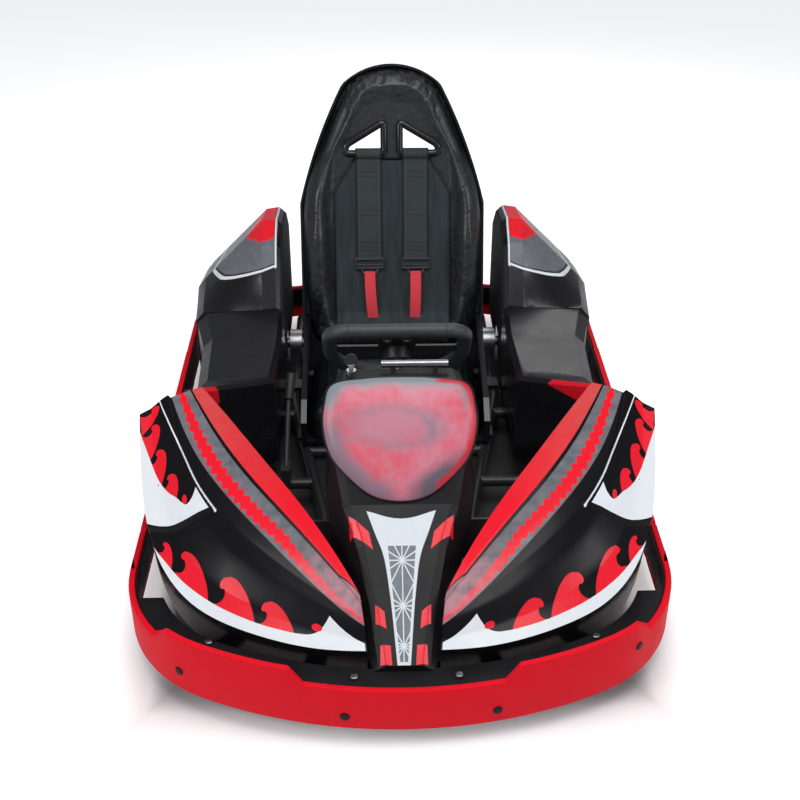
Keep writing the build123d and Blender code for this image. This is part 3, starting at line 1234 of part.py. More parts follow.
def build():
    """Every sub-part by its node name."""
    grown = rail(FIT)
    rails = grown + mirror(grown, Plane.YZ)
    beam = rod((-WIDTH, FRONT_AXLE_Y, TUBE_Z), (WIDTH, FRONT_AXLE_Y, TUBE_Z), TUBE_R + FIT)
    side_arm = rod((-WIDTH, LEVER_Y, TUBE_Z), (WIDTH, LEVER_Y, TUBE_Z), TUBE_R + FIT)
    hoop_inset = BAND_WALL + FIT + HOOP_WALL + FIT
    band_front, band_sides, band_rear = bumper_bands()
    right_rail, left_fairing, left_pod, left_cover = rail(), fairing(), side_pod(), rear_cover()
    grip = steering_rim()
    front_hub = (FRONT_WHEEL_X, FRONT_AXLE_Y, FRONT_HUB_Z)
    rear_hub = (REAR_WHEEL_X, REAR_AXLE_Y, REAR_TYRE_R)
    front_rim = rim(FRONT_RIM_R, FRONT_TYRE_WIDTH, STUB_R, *front_hub)
    front_tyre = tyre(FRONT_TYRE_R, FRONT_TYRE_WIDTH, FRONT_RIM_R, *front_hub)
    rear_rim = rim(REAR_RIM_R, REAR_TYRE_WIDTH, REAR_AXLE_R, *rear_hub)
    rear_tyre = tyre(REAR_TYRE_R, REAR_TYRE_WIDTH, REAR_RIM_R, *rear_hub)
    return {
        "side_rail_left": mirror(right_rail, Plane.YZ),
        "side_rail_right": right_rail,
        "cross_tubes": cross_tubes(rails),
        "bumper_arms": bumper_arms(rails, hoop_inset),
        "front_yokes": both_sides(yoke()),
        "floor_pan": floor_pan(),
        "floor_mats": floor_mats(),
        "bumper_band_front": band_front,
        "bumper_band_sides": band_sides,
        "bumper_band_rear": band_rear,
        "bumper_hoop": bumper_hoop(),
        "nose_spine": nose_spine(),
        "front_panel": front_panel(),
        "fairing_left": left_fairing,
        "fairing_right": mirror(left_fairing, Plane.YZ),
        "side_pod_left": left_pod,
        "side_pod_right": mirror(left_pod, Plane.YZ),
        "rear_cover_left": left_cover,
        "rear_cover_right": mirror(left_cover, Plane.YZ),
        "bearing_carriers": bearing_carriers(rails),
        "drive_unit": drive_unit(),
        "brake_caliper": brake_caliper(rails),
        "battery_box": battery_box(),
        "seat_shell": seat_shell(),
        "seat_back_pad": seat_back_pad(),
        "seat_cushion": seat_cushion(),
        "seat_bearers": seat_bearers(),
        "harness_bezels": harness_bezels(),
        "shoulder_belts": shoulder_belts(),
        "belt_adjusters": belt_adjusters(),
        "belt_tabs": belt_tabs(),
        "column_support": column_support(beam),
        "accelerator_pedal": pedal(-1, beam),
        "brake_pedal": pedal(1, beam),
        "brake_linkage": brake_linkage(),
        "drift_lever": drift_lever(side_arm),
        "key_switch": key_switch(),
        "dash_bar": dash_bar(),
        "steering_rim": grip,
        "steering_spokes": steering_spokes(grip),
        "steering_column": steering_column(),
        "steering_shaft": steering_shaft(),
        "coupling_boot": coupling_boot(),
        "knuckle_left": knuckle(1),
        "knuckle_right": knuckle(-1),
        "tie_rod_left": tie_rod(1),
        "tie_rod_right": tie_rod(-1),
        "front_rim_left": front_rim,
        "front_rim_right": mirror(front_rim, Plane.YZ),
        "front_tyre_left": front_tyre,
        "front_tyre_right": mirror(front_tyre, Plane.YZ),
        "rear_axle": rear_axle(),
        "rear_rims": both_sides(rear_rim),
        "rear_tyres": both_sides(rear_tyre),
        "brake_disc": brake_disc(),
    }


os.makedirs("parts", exist_ok=True)
for name, shape in build().items():
    export_step(shape, f"parts/{name}.step")
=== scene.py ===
# %% [markdown]
# # Drift kart
# The CAD model gives every rigid piece its size, place and body. This lesson dresses it: it gives each
# node a finish, models the shells, pads and straps as meshes, and sets up a studio picture.

# %% Load the frame
from math import cos, hypot, pi, radians, sin, sqrt

import bpy
import numpy as np
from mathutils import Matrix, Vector
from mathutils.bvhtree import BVHTree


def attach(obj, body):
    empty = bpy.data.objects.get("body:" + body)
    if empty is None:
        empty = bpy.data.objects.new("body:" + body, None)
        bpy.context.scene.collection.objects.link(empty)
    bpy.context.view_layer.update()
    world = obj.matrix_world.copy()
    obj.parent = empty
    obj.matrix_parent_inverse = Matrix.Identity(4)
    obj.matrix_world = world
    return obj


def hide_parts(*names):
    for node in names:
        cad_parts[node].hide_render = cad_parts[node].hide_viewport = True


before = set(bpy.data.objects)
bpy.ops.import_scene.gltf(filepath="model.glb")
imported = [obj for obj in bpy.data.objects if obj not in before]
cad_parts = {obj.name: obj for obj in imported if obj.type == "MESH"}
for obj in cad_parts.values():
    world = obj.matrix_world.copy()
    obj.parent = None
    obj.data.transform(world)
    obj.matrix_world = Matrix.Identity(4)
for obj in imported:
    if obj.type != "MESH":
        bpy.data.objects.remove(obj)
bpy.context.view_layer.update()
MM = 0.001
SIDES = ((1, "left"), (-1, "right"))

# %% [markdown]
# The picture was taken from the front, a little above head height. A camera could be placed by eye, but
# here its place was solved from the kart's known sizes, so the model falls on the same outline.

# %% Camera
CAMERA_AT, CAMERA_PITCH, CAMERA_HEADING = (-0.05, -2.72, 1.98), 32.0, 1.28
CAMERA_LENS, SENSOR_WIDTH = 54.0, 36.0
camera_turn = (radians(90 - CAMERA_PITCH), 0, radians(-CAMERA_HEADING))
bpy.ops.object.camera_add(location=CAMERA_AT, rotation=camera_turn)
camera = bpy.context.object
camera.data.lens, camera.data.sensor_width = CAMERA_LENS, SENSOR_WIDTH
bpy.context.scene.camera = camera
print("camera lens", camera.data.lens)

# %% [markdown]
# Gloss paint shows whatever stands around it, so the light comes from a few large soft panels: a broad one
# overhead, one at the front left, a weaker one on the right and one behind. The floor is a plain plane.

# %% Studio
# Panel columns: name, place, aim, size, power
SOFT_PANELS = (
    ("overhead", (0.2, -1.1, 3.7), (0, -0.1, 0), 2.4, 74.0),
    ("front_left", (-2.7, -2.2, 2.6), (0, -0.2, 0.3), 1.3, 46.0),
    ("front_right", (3.0, -1.6, 2.2), (0, 0, 0.3), 1.4, 30.0),
    ("behind", (0.6, 3.2, 2.6), (0, 0.2, 0.4), 2.0, 24.0),
)
FLOOR_SIZE = 40
for name, at, aim, size, power in SOFT_PANELS:
    turn = (Vector(aim) - Vector(at)).to_track_quat("-Z", "Y").to_euler()
    bpy.ops.object.light_add(type="AREA", location=at, rotation=turn)
    lamp = bpy.context.object
    lamp.name = "panel_" + name
    lamp.data.size, lamp.data.energy = size, power
bpy.context.scene.view_settings.view_transform = "Standard"
bpy.ops.mesh.primitive_plane_add(size=FLOOR_SIZE)
floor = bpy.context.object
floor.name = "studio_floor"
print("lights", len(SOFT_PANELS))

# %% [markdown]
# A finish is a small graph of shader nodes. Writing it as sums is easier to read than wiring sockets, so
# one class wraps a socket and turns operators into Math nodes. Another holds a material and adds any node.


# %% Shader helpers
def plug(tree, target, value):
    """Sets a socket to a value or links it to a signal."""
    if isinstance(value, Signal):
        tree.links.new(value.socket, target)
    else:
        target.default_value = value


class Signal:
    """A number that varies over a surface: operators on it add Math nodes."""

    def __init__(self, tree, socket):
        self.tree, self.socket = tree, socket

    def math(self, operation, *values, clamp=False):
        node = self.tree.nodes.new("ShaderNodeMath")
        node.operation, node.use_clamp = operation, clamp
        for target, value in zip(node.inputs, values):
            plug(self.tree, target, value)
        return Signal(self.tree, node.outputs[0])

    def __add__(self, other):
        return self.math("ADD", self, other)

    def __sub__(self, other):
        return self.math("SUBTRACT", self, other)

    def __rsub__(self, other):
        return self.math("SUBTRACT", other, self)

    def __mul__(self, other):
        return self.math("MULTIPLY", self, other)

    def __truediv__(self, other):
        return self.math("DIVIDE", self, other)

    def __abs__(self):
        return self.math("ABSOLUTE", self)

    __radd__, __rmul__ = __add__, __mul__

    def most(self, other):
        return self.math("MAXIMUM", self, other)

    def least(self, other):
        return self.math("MINIMUM", self, other)

    def sine(self):
        return self.math("SINE", self)

    def length(self, other):
        """How far a flat place with these two parts is from the middle."""
        total = self * self + other * other
        return total.math("SQRT", total)

    def fold(self, period):
        """A zigzag between 0 and the period."""
        return self.math("PINGPONG", self, period)

    def above(self, edge, soft):
        """0 below the edge and 1 above it, with a step as wide as soft."""
        return self.math("ADD", (self - edge) / soft, 0.5, clamp=True)


class Finish:
    """A material with one Principled shader and helpers to add nodes."""

    def __init__(self, name, **constants):
        self.material = bpy.data.materials.new(name)
        self.material.use_nodes = True
        self.tree = self.material.node_tree
        self.shader = self.tree.nodes["Principled BSDF"]
        self.set(**constants)

    def set(self, **values):
        """Sets shader sockets, with _ for a space in their names."""
        for name, value in values.items():
            plug(self.tree, self.shader.inputs[name.replace("_", " ")], value)

    def node(self, kind, settings=None, values=None, out=0):
        """Adds any node: settings are its own properties, values its sockets."""
        node = self.tree.nodes.new("ShaderNode" + kind)
        for name, value in (settings or {}).items():
            setattr(node, name, value)
        for name, value in (values or {}).items():
            plug(self.tree, node.inputs[name], value)
        return Signal(self.tree, node.outputs[out])

    def place(self):
        """The surface point in the kart's frame, in metres."""
        return self.node("TexCoord", out="Object")

    def axes(self, vector):
        """The three parts of a vector."""
        split = self.tree.nodes.new("ShaderNodeSeparateXYZ")
        plug(self.tree, split.inputs[0], vector)
        return [Signal(self.tree, socket) for socket in split.outputs]

    def noise(self, scale, detail, vector=None):
        vector = vector or self.place()
        return self.node("TexNoise", None, {"Vector": vector, "Scale": scale, "Detail": detail})

    def pores(self, scale):
        """The distance to the creases between small cells, as on hide."""
        values = {"Vector": self.place(), "Scale": scale}
        return self.node("TexVoronoi", {"feature": "DISTANCE_TO_EDGE"}, values)

    def mix(self, share, low, high):
        """A colour between two colours."""
        node = self.tree.nodes.new("ShaderNodeMix")
        node.data_type = "RGBA"
        plug(self.tree, node.inputs["Factor"], share)
        for name, value in (("A", low), ("B", high)):
            socket = next(s for s in node.inputs if s.name == name and s.type == "RGBA")
            plug(self.tree, socket, value if isinstance(value, Signal) else colour(value))
        return Signal(self.tree, next(s for s in node.outputs if s.type == "RGBA"))

    def bump(self, height, depth, strength):
        """Feeds a height, times a depth in metres, to the shader's normal."""
        values = {"Height": height, "Distance": depth, "Strength": strength}
        self.set(Normal=self.node("Bump", None, values, out="Normal"))


def colour(rgb):
    """An sRGB colour of 0 to 255 as Blender's linear colour."""
    line = [c / 255 for c in rgb]
    return (*[c / 12.92 if c <= 0.04045 else ((c + 0.055) / 1.055) ** 2.4 for c in line], 1)


def dress(finish, *nodes):
    """Gives CAD nodes a finish."""
    for node in nodes:
        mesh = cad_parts[node].data
        mesh.materials.clear()
        mesh.materials.append(finish.material)


# %% [markdown]
# The floor only has to be white and take a shadow. It glows mostly for the camera, and not under the kart, so
# that gloss paint does not mirror a white floor and the shade under the bodywork stays. Under the kart its
# colour is also painted dark grey, a painted shadow. The world is a weak fill, and Light Path makes it near
# white for the camera and a little brighter in the gloss.

# %% Floor and backdrop
PAINTED_SHADOW, PAPER_WHITE, SHADE_X, SHADE_Y = (58, 58, 60), (244, 244, 246), 0.66, 0.98
FILL_COLOUR, FILL_LEVEL = (0.92, 0.95, 1.0, 1), 0.15
RAY_LEVELS = (("Is Camera Ray", 0.8), ("Is Glossy Ray", 0.05), ("Is Transmission Ray", 0.8))
paper = Finish("studio_paper", Roughness=0.9, Emission_Strength=1.0)
floor_x, floor_y, _ = paper.axes(paper.place())
off = (abs(floor_x) / SHADE_X).most(abs(floor_y) / SHADE_Y)
seen = paper.node("LightPath", out="Is Camera Ray")
glow = off.above(0.97, 0.3) * (seen * 0.62 + 0.06)
# Under the kart the floor's base colour is painted dark grey: a painted shadow.
paper.set(Base_Color=paper.mix(off.above(0.78, 0.16), PAINTED_SHADOW, PAPER_WHITE))
paper.set(Emission_Color=paper.node("CombineColor", None, {"Red": glow, "Green": glow, "Blue": glow}))
floor.data.materials.append(paper.material)
world = bpy.data.worlds.new("studio")
bpy.context.scene.world = world
world.use_nodes = True
sky = world.node_tree
backdrop = sky.nodes["Background"]
backdrop.inputs["Color"].default_value = FILL_COLOUR
rays = sky.nodes.new("ShaderNodeLightPath")
level = sum(Signal(sky, rays.outputs[ray]) * share for ray, share in RAY_LEVELS) + FILL_LEVEL
plug(sky, backdrop.inputs["Strength"], level)
print("floor", floor.name, "world", world.name)

# %% [markdown]
# Most metal on the kart is tube and plate under black powder coat: nearly matte, with a fine orange peel
# and paler dust. On most finishes here one cloudy noise moves colour and roughness together, so that is a
# function.


# %% Black powder coat
def worn(name, cloud, tones, share, rough, grain=None, **constants):
    """A finish whose colour and roughness follow one noise.

    cloud is its scale and detail, share how far it goes from one tone to the other, rough the roughness and
    its swing, and grain the scale, detail, depth and strength of a fine bump.
    """
    finish = Finish(name, **constants)
    tone = finish.noise(*cloud)
    finish.set(Base_Color=finish.mix(tone * share, *tones), Roughness=tone * rough[1] + rough[0])
    if grain:
        finish.bump(finish.noise(*grain[:2]), *grain[2:])
    return finish


coat = worn("black_powder_coat", (9.0, 6.0), ((24, 24, 27), (52, 52, 55)), 0.35, (0.32, 0.25),
            (900.0, 2.0, 0.0006, 0.35), Coat_Weight=0.15, Coat_Roughness=0.3)
dress(coat, "side_rail_left", "side_rail_right", "cross_tubes", "bumper_arms", "front_yokes", "seat_bearers",
      "column_support", "floor_pan", "accelerator_pedal", "brake_pedal", "steering_spokes")
print("coated tubes", coat.material.name)

# %% [markdown]
# The bumper band is thick red polyethylene. It is coloured all through, so scuffs show as duller, paler
# strokes and not as another paint.

# %% Red band
BAND_RED, BAND_RUBBED = (236, 13, 36), (222, 36, 54)
band = Finish("red_polyethylene", Specular_IOR_Level=0.12)
rub = band.noise(26.0, 8.0)
streak = band.noise(6.0, 3.0)
band.set(Base_Color=band.mix((rub - 0.35) * 0.5, BAND_RED, BAND_RUBBED))
band.set(Roughness=rub * 0.2 + streak * 0.15 + 0.36)
band.bump(band.noise(420.0, 3.0), 0.0005, 0.2)
dress(band, "bumper_band_front", "bumper_band_sides", "bumper_band_rear")
print("band", band.material.name)

# %% [markdown]
# The seat's shell and the frames of its slots are gloss black. A clear coat over a dark base gives the deep
# reflections, and a very low wave keeps them from looking computed. The nose spine and the hoop are satin.

# %% Gloss and satin black
GLOSS_BLACK = (17, 16, 20)
gloss = worn("gloss_black_shell", (14.0, 6.0), (GLOSS_BLACK, (34, 34, 39)), 0.3, (0.2, 0.16),
             (5.0, 2.0, 0.004, 0.25), Coat_Weight=0.3, Coat_Roughness=0.1, Specular_IOR_Level=0.4)
dress(gloss, "seat_shell", "harness_bezels")
satin = worn("satin_black_shell", (16.0, 6.0), ((13, 13, 15), (27, 27, 30)), 1.0, (0.34, 0.25),
             (700.0, 3.0, 0.0004, 0.3), Specular_IOR_Level=0.25)
dress(satin, "nose_spine", "bumper_hoop")
print("shells", gloss.material.name, satin.material.name)

# %% [markdown]
# Bare metal: machined aluminium on rims and bearing blocks, bright steel on shafts and rods. Fine noise
# in the roughness stands for tool marks.

# %% Bare metal
alloy = worn("machined_aluminium", (160.0, 5.0), ((196, 198, 203), (150, 152, 158)), 0.5, (0.22, 0.25),
             Metallic=1.0)
dress(alloy, "bearing_carriers", "front_rim_left", "front_rim_right", "rear_rims")
steel = worn("bright_steel", (120.0, 6.0), ((176, 177, 180), (120, 121, 125)), 1.0, (0.15, 0.3), Metallic=1.0)
dress(steel, "steering_column", "steering_shaft", "knuckle_left", "knuckle_right", "tie_rod_left",
      "tie_rod_right", "rear_axle", "brake_disc", "brake_linkage", "dash_bar")
print("metals", alloy.material.name, steel.material.name)

# %% [markdown]
# Rubber and dull plastic: tyres, boot, mats, battery case, motor and lever. The caliper is painted red.

# %% Rubber and dull plastic
tread = worn("slick_rubber", (60.0, 8.0), ((22, 22, 23), (44, 43, 42)), 1.0, (0.6, 0.25),
             (500.0, 3.0, 0.0008, 0.4))
dress(tread, "front_tyre_left", "front_tyre_right", "rear_tyres", "coupling_boot")
mat = worn("grey_ribbed_mat", (40.0, 7.0), ((62, 64, 67), (112, 115, 119)), 1.0, (0.5, 0.2),
           (350.0, 3.0, 0.0006, 0.4))
dress(mat, "floor_mats")
dull = worn("dull_black_plastic", (300.0, 3.0), ((30, 31, 33), (58, 59, 62)), 0.4, (0.42, 0.2),
            (300.0, 3.0, 0.0006, 0.35))
dress(dull, "battery_box", "drive_unit", "drift_lever")
red_cast = worn("red_caliper_paint", (45.0, 6.0), ((176, 22, 30), (96, 14, 18)), 0.3, (0.25, 0.3),
                Coat_Weight=0.4)
dress(red_cast, "brake_caliper")
print("rubber", tread.material.name)

# %% [markdown]
# Pieces made here get the same treatment at the end: smooth shading up to an edge angle, a finish, a body
# to ride on, and the CAD node they stand for is hidden. One helper does that, and others start a flat grid or a
# curve.


# %% Piece helpers
def pick(piece):
    """Makes a piece active and the only one that is selected."""
    bpy.ops.object.select_all(action="DESELECT")
    bpy.context.view_layer.objects.active = piece
    piece.select_set(True)


def points_of(piece):
    """The places of a mesh's points."""
    return np.array([v.co for v in piece.data.vertices])


def flat_grid(name, columns, rows):
    """A flat grid of columns by rows points, and each point's column and row."""
    bpy.ops.object.select_all(action="DESELECT")
    bpy.ops.mesh.primitive_grid_add(x_subdivisions=columns - 1, y_subdivisions=rows - 1, size=2)
    piece = bpy.context.object
    piece.name = name
    share = (points_of(piece)[:, :2] + 1) / 2
    column, row = np.rint(share * (columns - 1, rows - 1)).astype(int).T
    return piece, column, row


def drawn(name, kind, count, closed, **settings):
    """A curve of a kind with a count of points, and the points, to be placed."""
    curve = bpy.data.curves.new(name, "CURVE")
    for setting, value in settings.items():
        setattr(curve, setting, value)
    spline = curve.splines.new(kind)
    knots = spline.bezier_points if kind == "BEZIER" else spline.points
    knots.add(count - 1)
    spline.use_cyclic_u = closed
    piece = bpy.data.objects.new(name, curve)
    bpy.context.collection.objects.link(piece)
    return piece, knots


def move_points(piece, points):
    """Puts every point of a mesh at a new place."""
    piece.data.vertices.foreach_set("co", np.asarray(points, dtype=float).ravel())
    piece.data.update()


def paint_map(piece, pairs):
    """Gives the mesh a paint map from one pair of numbers per point."""
    layer = piece.data.uv_layers.active or piece.data.uv_layers.new(name="UVMap")
    for loop in piece.data.loops:
        layer.data[loop.index].uv = pairs[loop.vertex_index]


def modify(piece, kind, **settings):
    """Adds a modifier with settings and applies it."""
    pick(piece)
    modifier = piece.modifiers.new(kind.lower(), kind)
    for name, value in settings.items():
        setattr(modifier, name, value)
    bpy.ops.object.modifier_apply(modifier=modifier.name)


def edit(piece, *steps):
    """Runs edit mode operators on a whole piece."""
    pick(piece)
    bpy.ops.object.mode_set(mode="EDIT")
    bpy.ops.mesh.select_all(action="SELECT")
    for step in steps:
        step()
    bpy.ops.object.mode_set(mode="OBJECT")


def face_up(piece, towards):
    """Turns the mesh inside out if its faces look away from a direction."""
    total = sum((Vector(f.normal) * f.area for f in piece.data.polygons), Vector())
    if total.dot(Vector(towards)) < 0:
        piece.data.flip_normals()


def place(piece, finishes, body="chassis", nodes=(), angle=35):
    """Smooths a finished piece, gives it its finish and its body, and hides the CAD nodes it stands for."""
    pick(piece)
    bpy.ops.object.shade_smooth_by_angle(angle=radians(angle))
    piece.data.materials.clear()
    for finish in finishes if isinstance(finishes, (list, tuple)) else [finishes]:
        piece.data.materials.append(finish.material)
    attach(piece, body)
    if nodes:
        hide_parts(*([nodes] if isinstance(nodes, str) else nodes))
    return piece


# %% [markdown]
# The front fairings are the kart's face: two vacuum-formed shells that run from the nose out over the front
# wheels. A sculptor would pull them from a plane; here a flat grid is laid over six stations, each with a
# rim point, a lip point and a skirt, with smooth curves between them. A raised cheek starts at a step.

# %% Fairing surface
# Station columns: rim x, y, z, lip x, y, z, skirt lean, skirt foot
STATIONS = np.array([
    (93, -757, 266, 77, -860, 195, 6, 118.3),
    (152, -650, 300, 206, -846, 196, 10, 118.3),
    (230, -530, 340, 356, -798, 208, 14, 118.3),
    (316, -414, 379, 481, -712, 228, 16, 118.3),
    (400, -300, 415, 574, -545, 288, 10, 185),
    (479, -200, 450, 620, -280, 412, 4, 290),
]) * MM
LAST = len(STATIONS) - 1
# The crown's height by place across, as a share of the width, with the groove behind the rim
CROWN = ((0, 0), (0.163, 0.040), (0.178, 0.030), (0.194, 0.048), (0.36, 0.073), (0.5, 0.085), (0.62, 0.07),
         (0.82, 0), (1, 0))
CHEEK_START, CHEEK_INNER, CHEEK_RUN, CHEEK_RISE = 3.15, 0.505, 0.8, 0.011
CHEEK_EDGE, CHEEK_FADE, CHEEK_LEAN = 0.03, 0.25, 0.25


def unit(value):
    """A number held between 0 and 1."""
    return min(max(value, 0), 1)


def smooth_through(rows, at):
    """A natural cubic curve through equally spaced rows."""
    count = len(rows)
    system = np.diag([1.0] + [4.0] * (count - 2) + [1.0])
    bend = np.zeros_like(rows)
    for k in range(1, count - 1):
        system[k, k - 1] = system[k, k + 1] = 1
        bend[k] = 6 * (rows[k + 1] - 2 * rows[k] + rows[k - 1])
    bend = np.linalg.solve(system, bend)
    k = int(min(max(at, 0), count - 1 - 1e-9))
    b = at - k
    a = 1 - b
    return a * rows[k] + b * rows[k + 1] + ((a**3 - a) * bend[k] + (b**3 - b) * bend[k + 1]) / 6


def step_at(across):
    """Where along the fairing the cheek's front edge stands."""
    return CHEEK_START + CHEEK_RUN * (across - CHEEK_INNER) / (1 - CHEEK_INNER)


def fairing_point(along, across, side, lift=0.0, cheek=None):
    """A point of the shell: across is 0 at the rim and 1 at the lip, below 0 the flange, above 1 the skirt."""
    row = smooth_through(STATIONS, along)
    rim, lip, lean, foot = row[:3], row[3:6], row[6], max(row[7], STATIONS[0, 7])
    span = lip - rim
    wide = hypot(span[0], span[1])
    on_top = unit(across)
    point = rim + span * on_top
    point[2] += np.interp(on_top, *zip(*CROWN)) * wide
    raised = (along > step_at(on_top)) if cheek is None else cheek
    if raised:
        share = unit((across - CHEEK_INNER) / CHEEK_EDGE) * unit((1 + CHEEK_FADE - across) / CHEEK_FADE)
        point += np.array([-CHEEK_LEAN * span[1], 0, wide]) / wide * CHEEK_RISE * share
    if across > 1:
        down = across - 1
        point[:2] -= span[:2] / wide * lean * down
        point[2] += (foot - lip[2]) * down
    if across < 0:
        point[2] += across
    point[2] += lift
    return np.array([side * point[0], point[1], point[2]])


print("fairing from", fairing_point(0, 0, 1), "to", fairing_point(LAST, 1, 1))

# %% [markdown]
# The livery of a real kart is printed vinyl. Stripes that run along the shell are easiest in the shader,
# as sums of the paint map's two numbers: along from nose to cheek and across from rim to lip.

# %% Fairing livery
LIVERY_RED, LIVERY_WHITE, LIVERY_FADED = (243, 28, 46), (236, 241, 246), (208, 88, 86)
LIVERY_ASH, LIVERY_BLEACHED, GROOVE_BLACK = ((84, 87, 95), (134, 136, 142)), (198, 126, 138), (20, 18, 21)
livery = Finish("fairing_livery", Coat_Weight=0.1, Coat_Roughness=0.12, Specular_IOR_Level=0.16)
paint_u, paint_v, _ = livery.axes(livery.node("UVMap"))
spray = livery.noise(38.0, 5.0) - 0.5
along, across = paint_u * LAST, paint_v + spray * 0.004
# The red chain in its grey stripe
from_middle = along - 3.0
grey_edge = from_middle * from_middle * 0.024 + 0.394
chain = (1.9 - along).most(0.0) * 0.1 + 0.33
tooth = (along + spray * 0.03).fold(0.08) / 0.08
diamond = abs(across + spray * 0.02 - chain) - tooth * 0.034 - 0.026
ash_now = livery.mix(spray * 1.4 + 0.5, *LIVERY_ASH)
colour_now = livery.mix(diamond.above(0.004, 0.014), LIVERY_RED, ash_now)
bleach = (1.25 - along).above(0, 0.7) * (spray * 1.6 + 0.5)
colour_now = livery.mix(bleach, colour_now, LIVERY_BLEACHED)
colour_now = livery.mix((across - grey_edge).above(0, 0.006), colour_now, GLOSS_BLACK)
# The red rim and the dark groove behind it
rim_edge = (along / 0.7).least(1.0) * 0.163
groove_end = (across - rim_edge).above(0.027, 0.012)
rim_red = livery.mix((along - 3.4).above(0, 2.6) * (0.75 + spray * 1.2), LIVERY_RED, LIVERY_FADED)
colour_now = livery.mix(groove_end, GROOVE_BLACK, colour_now)
colour_now = livery.mix(rim_edge.above(across, 0.006), colour_now, rim_red)
# The white pinstripe on the cheek, and the black skirt
rear_run = (along - 3.95).most(0.0)
pin_line = abs(across - 0.52 - rear_run * rear_run * 0.14)
on_cheek = along.above(CHEEK_START, 0.01) * (0.0075 - pin_line).above(0.0, 0.002)
colour_now = livery.mix(on_cheek, colour_now, LIVERY_WHITE)
colour_now = livery.mix(across.above(1.02, 0.01), colour_now, GLOSS_BLACK)
livery.set(Base_Color=colour_now, Roughness=livery.noise(22.0, 6.0) * 0.16 + 0.17)
livery.bump(livery.noise(6.0, 2.0), 0.004, 0.2)
inside = Finish("shell_inside", Base_Color=colour((26, 26, 28)))
inside.set(Roughness=inside.noise(70.0, 4.0) * 0.3 + 0.5)
print("livery", livery.material.name)

# %% [markdown]
# Now the shells. Columns of the grid bunch up at the step so that it stays crisp, and rows lie on every
# crease of the cross section. Solidify gives the sheet its thickness.

# %% Fairings
FRONT_COLUMNS, CHEEK_COLUMNS, STEP_RUN, SHELL_WALL = 60, 34, 0.02, 0.004
ACROSS_ROWS = (-0.026, -0.008, 0.0, 0.04, 0.09, 0.135, 0.158, 0.166, 0.178, 0.19, 0.198, 0.23, 0.27, 0.31, 0.36,
               0.41, 0.46, 0.495, 0.505, 0.512, 0.522, 0.535, 0.55, 0.58, 0.61, 0.64, 0.68, 0.72, 0.76, 0.8,
               0.83, 0.87, 0.91, 0.95, 0.98, 1.0, 1.03, 1.1, 1.25, 1.5, 1.75, 2.0)
UP_AND_FORWARD = (0, -0.4, 1)
for side, name in SIDES:
    shell, column, row = flat_grid(f"fairing_{name}_shell", FRONT_COLUMNS + CHEEK_COLUMNS, len(ACROSS_ROWS))
    points, paint = [], []
    for c, r in zip(column, row):
        edge = step_at(unit(ACROSS_ROWS[r]))
        cheek = c >= FRONT_COLUMNS
        if cheek:
            start = edge + STEP_RUN
            along_now = start + (LAST - edge - STEP_RUN) * (c - FRONT_COLUMNS) / (CHEEK_COLUMNS - 1)
        else:
            along_now = edge * c / (FRONT_COLUMNS - 1)
        points.append(fairing_point(along_now, ACROSS_ROWS[r], side, cheek=cheek))
        paint.append((along_now / LAST, ACROSS_ROWS[r]))
    move_points(shell, points)
    paint_map(shell, paint)
    face_up(shell, UP_AND_FORWARD)
    modify(shell, "SOLIDIFY", thickness=SHELL_WALL, offset=-1.0, material_offset=1, use_even_offset=True)
    place(shell, [livery, inside], nodes=f"fairing_{name}")
    print(shell.name, len(shell.data.polygons))

# %% [markdown]
# Waves, white lips and the white wedge on the cheek have outlines of their own, so they are cut as stickers:
# a flat curve is filled, cut into small faces and then laid on the shell a fraction of a millimetre proud.


# %% Sticker tool
def sticker(name, outline, lay, finish, cuts=(0.12, 0.05), sheet=0.0005):
    """A filled outline laid on a surface: points are (x, y, corner), lay turns them into a place."""
    fill = {"dimensions": "2D", "fill_mode": "BOTH", "resolution_u": 5}
    piece, knots = drawn(name, "BEZIER", len(outline), True, **fill)
    for knot, (x, y, corner) in zip(knots, outline):
        knot.co = (x, y, 0)
        knot.handle_left_type = knot.handle_right_type = "VECTOR" if corner else "AUTO"
    pick(piece)
    bpy.ops.object.convert(target="MESH")
    flat = points_of(piece)
    bpy.ops.object.mode_set(mode="EDIT")
    for axis, step in enumerate(cuts):
        low, high = flat[:, axis].min(), flat[:, axis].max()
        for k in range(1, int((high - low) / step) + 1):
            bpy.ops.mesh.select_all(action="SELECT")
            cut_at, cut_along = [0, 0, 0], [0, 0, 0]
            cut_at[axis], cut_along[axis] = low + k * step, 1
            bpy.ops.mesh.bisect(plane_co=cut_at, plane_no=cut_along)
    bpy.ops.mesh.select_all(action="SELECT")
    bpy.ops.mesh.remove_doubles(threshold=1e-6)
    bpy.ops.object.mode_set(mode="OBJECT")
    flat = points_of(piece)
    paint_map(piece, [tuple(p[:2]) for p in flat])
    move_points(piece, [lay(x, y) for x, y, _ in flat])
    face_up(piece, UP_AND_FORWARD)
    modify(piece, "SOLIDIFY", thickness=sheet, offset=0.0)
    return place(piece, finish)


def on_shell(side, lift, cheek):
    """A way to lay a sticker on a fairing."""
    return lambda x, y: fairing_point(min(x, LAST), y, side, lift, cheek)


print("sticker tool ready")

# %% [markdown]
# The waves follow an old woodcut pattern: a back that rises smoothly and a crest that curls over. One
# template serves all of them, stretched along the lip; its foot can be pulled forward under the crest.

# %% Fairing stickers
VINYL = 0.0007
WHITE_LIFT, DOT_LIFT = 1.6 * VINYL, 2.2 * VINYL
CREST = ((0, 0), (0.15, 0.38), (0.34, 0.69), (0.55, 0.9), (0.8, 1), (0.96, 0.93), (1.06, 0.8), (1.07, 0.68),
         (1.01, 0.6), (0.93, 0.62), (0.876, 0.54), (0.85, 0.38), (0.88, 0.22), (0.96, 0.1), (1.03, 0))
# From this point of the template on, the foot can be pulled
FOOT_FROM = 11
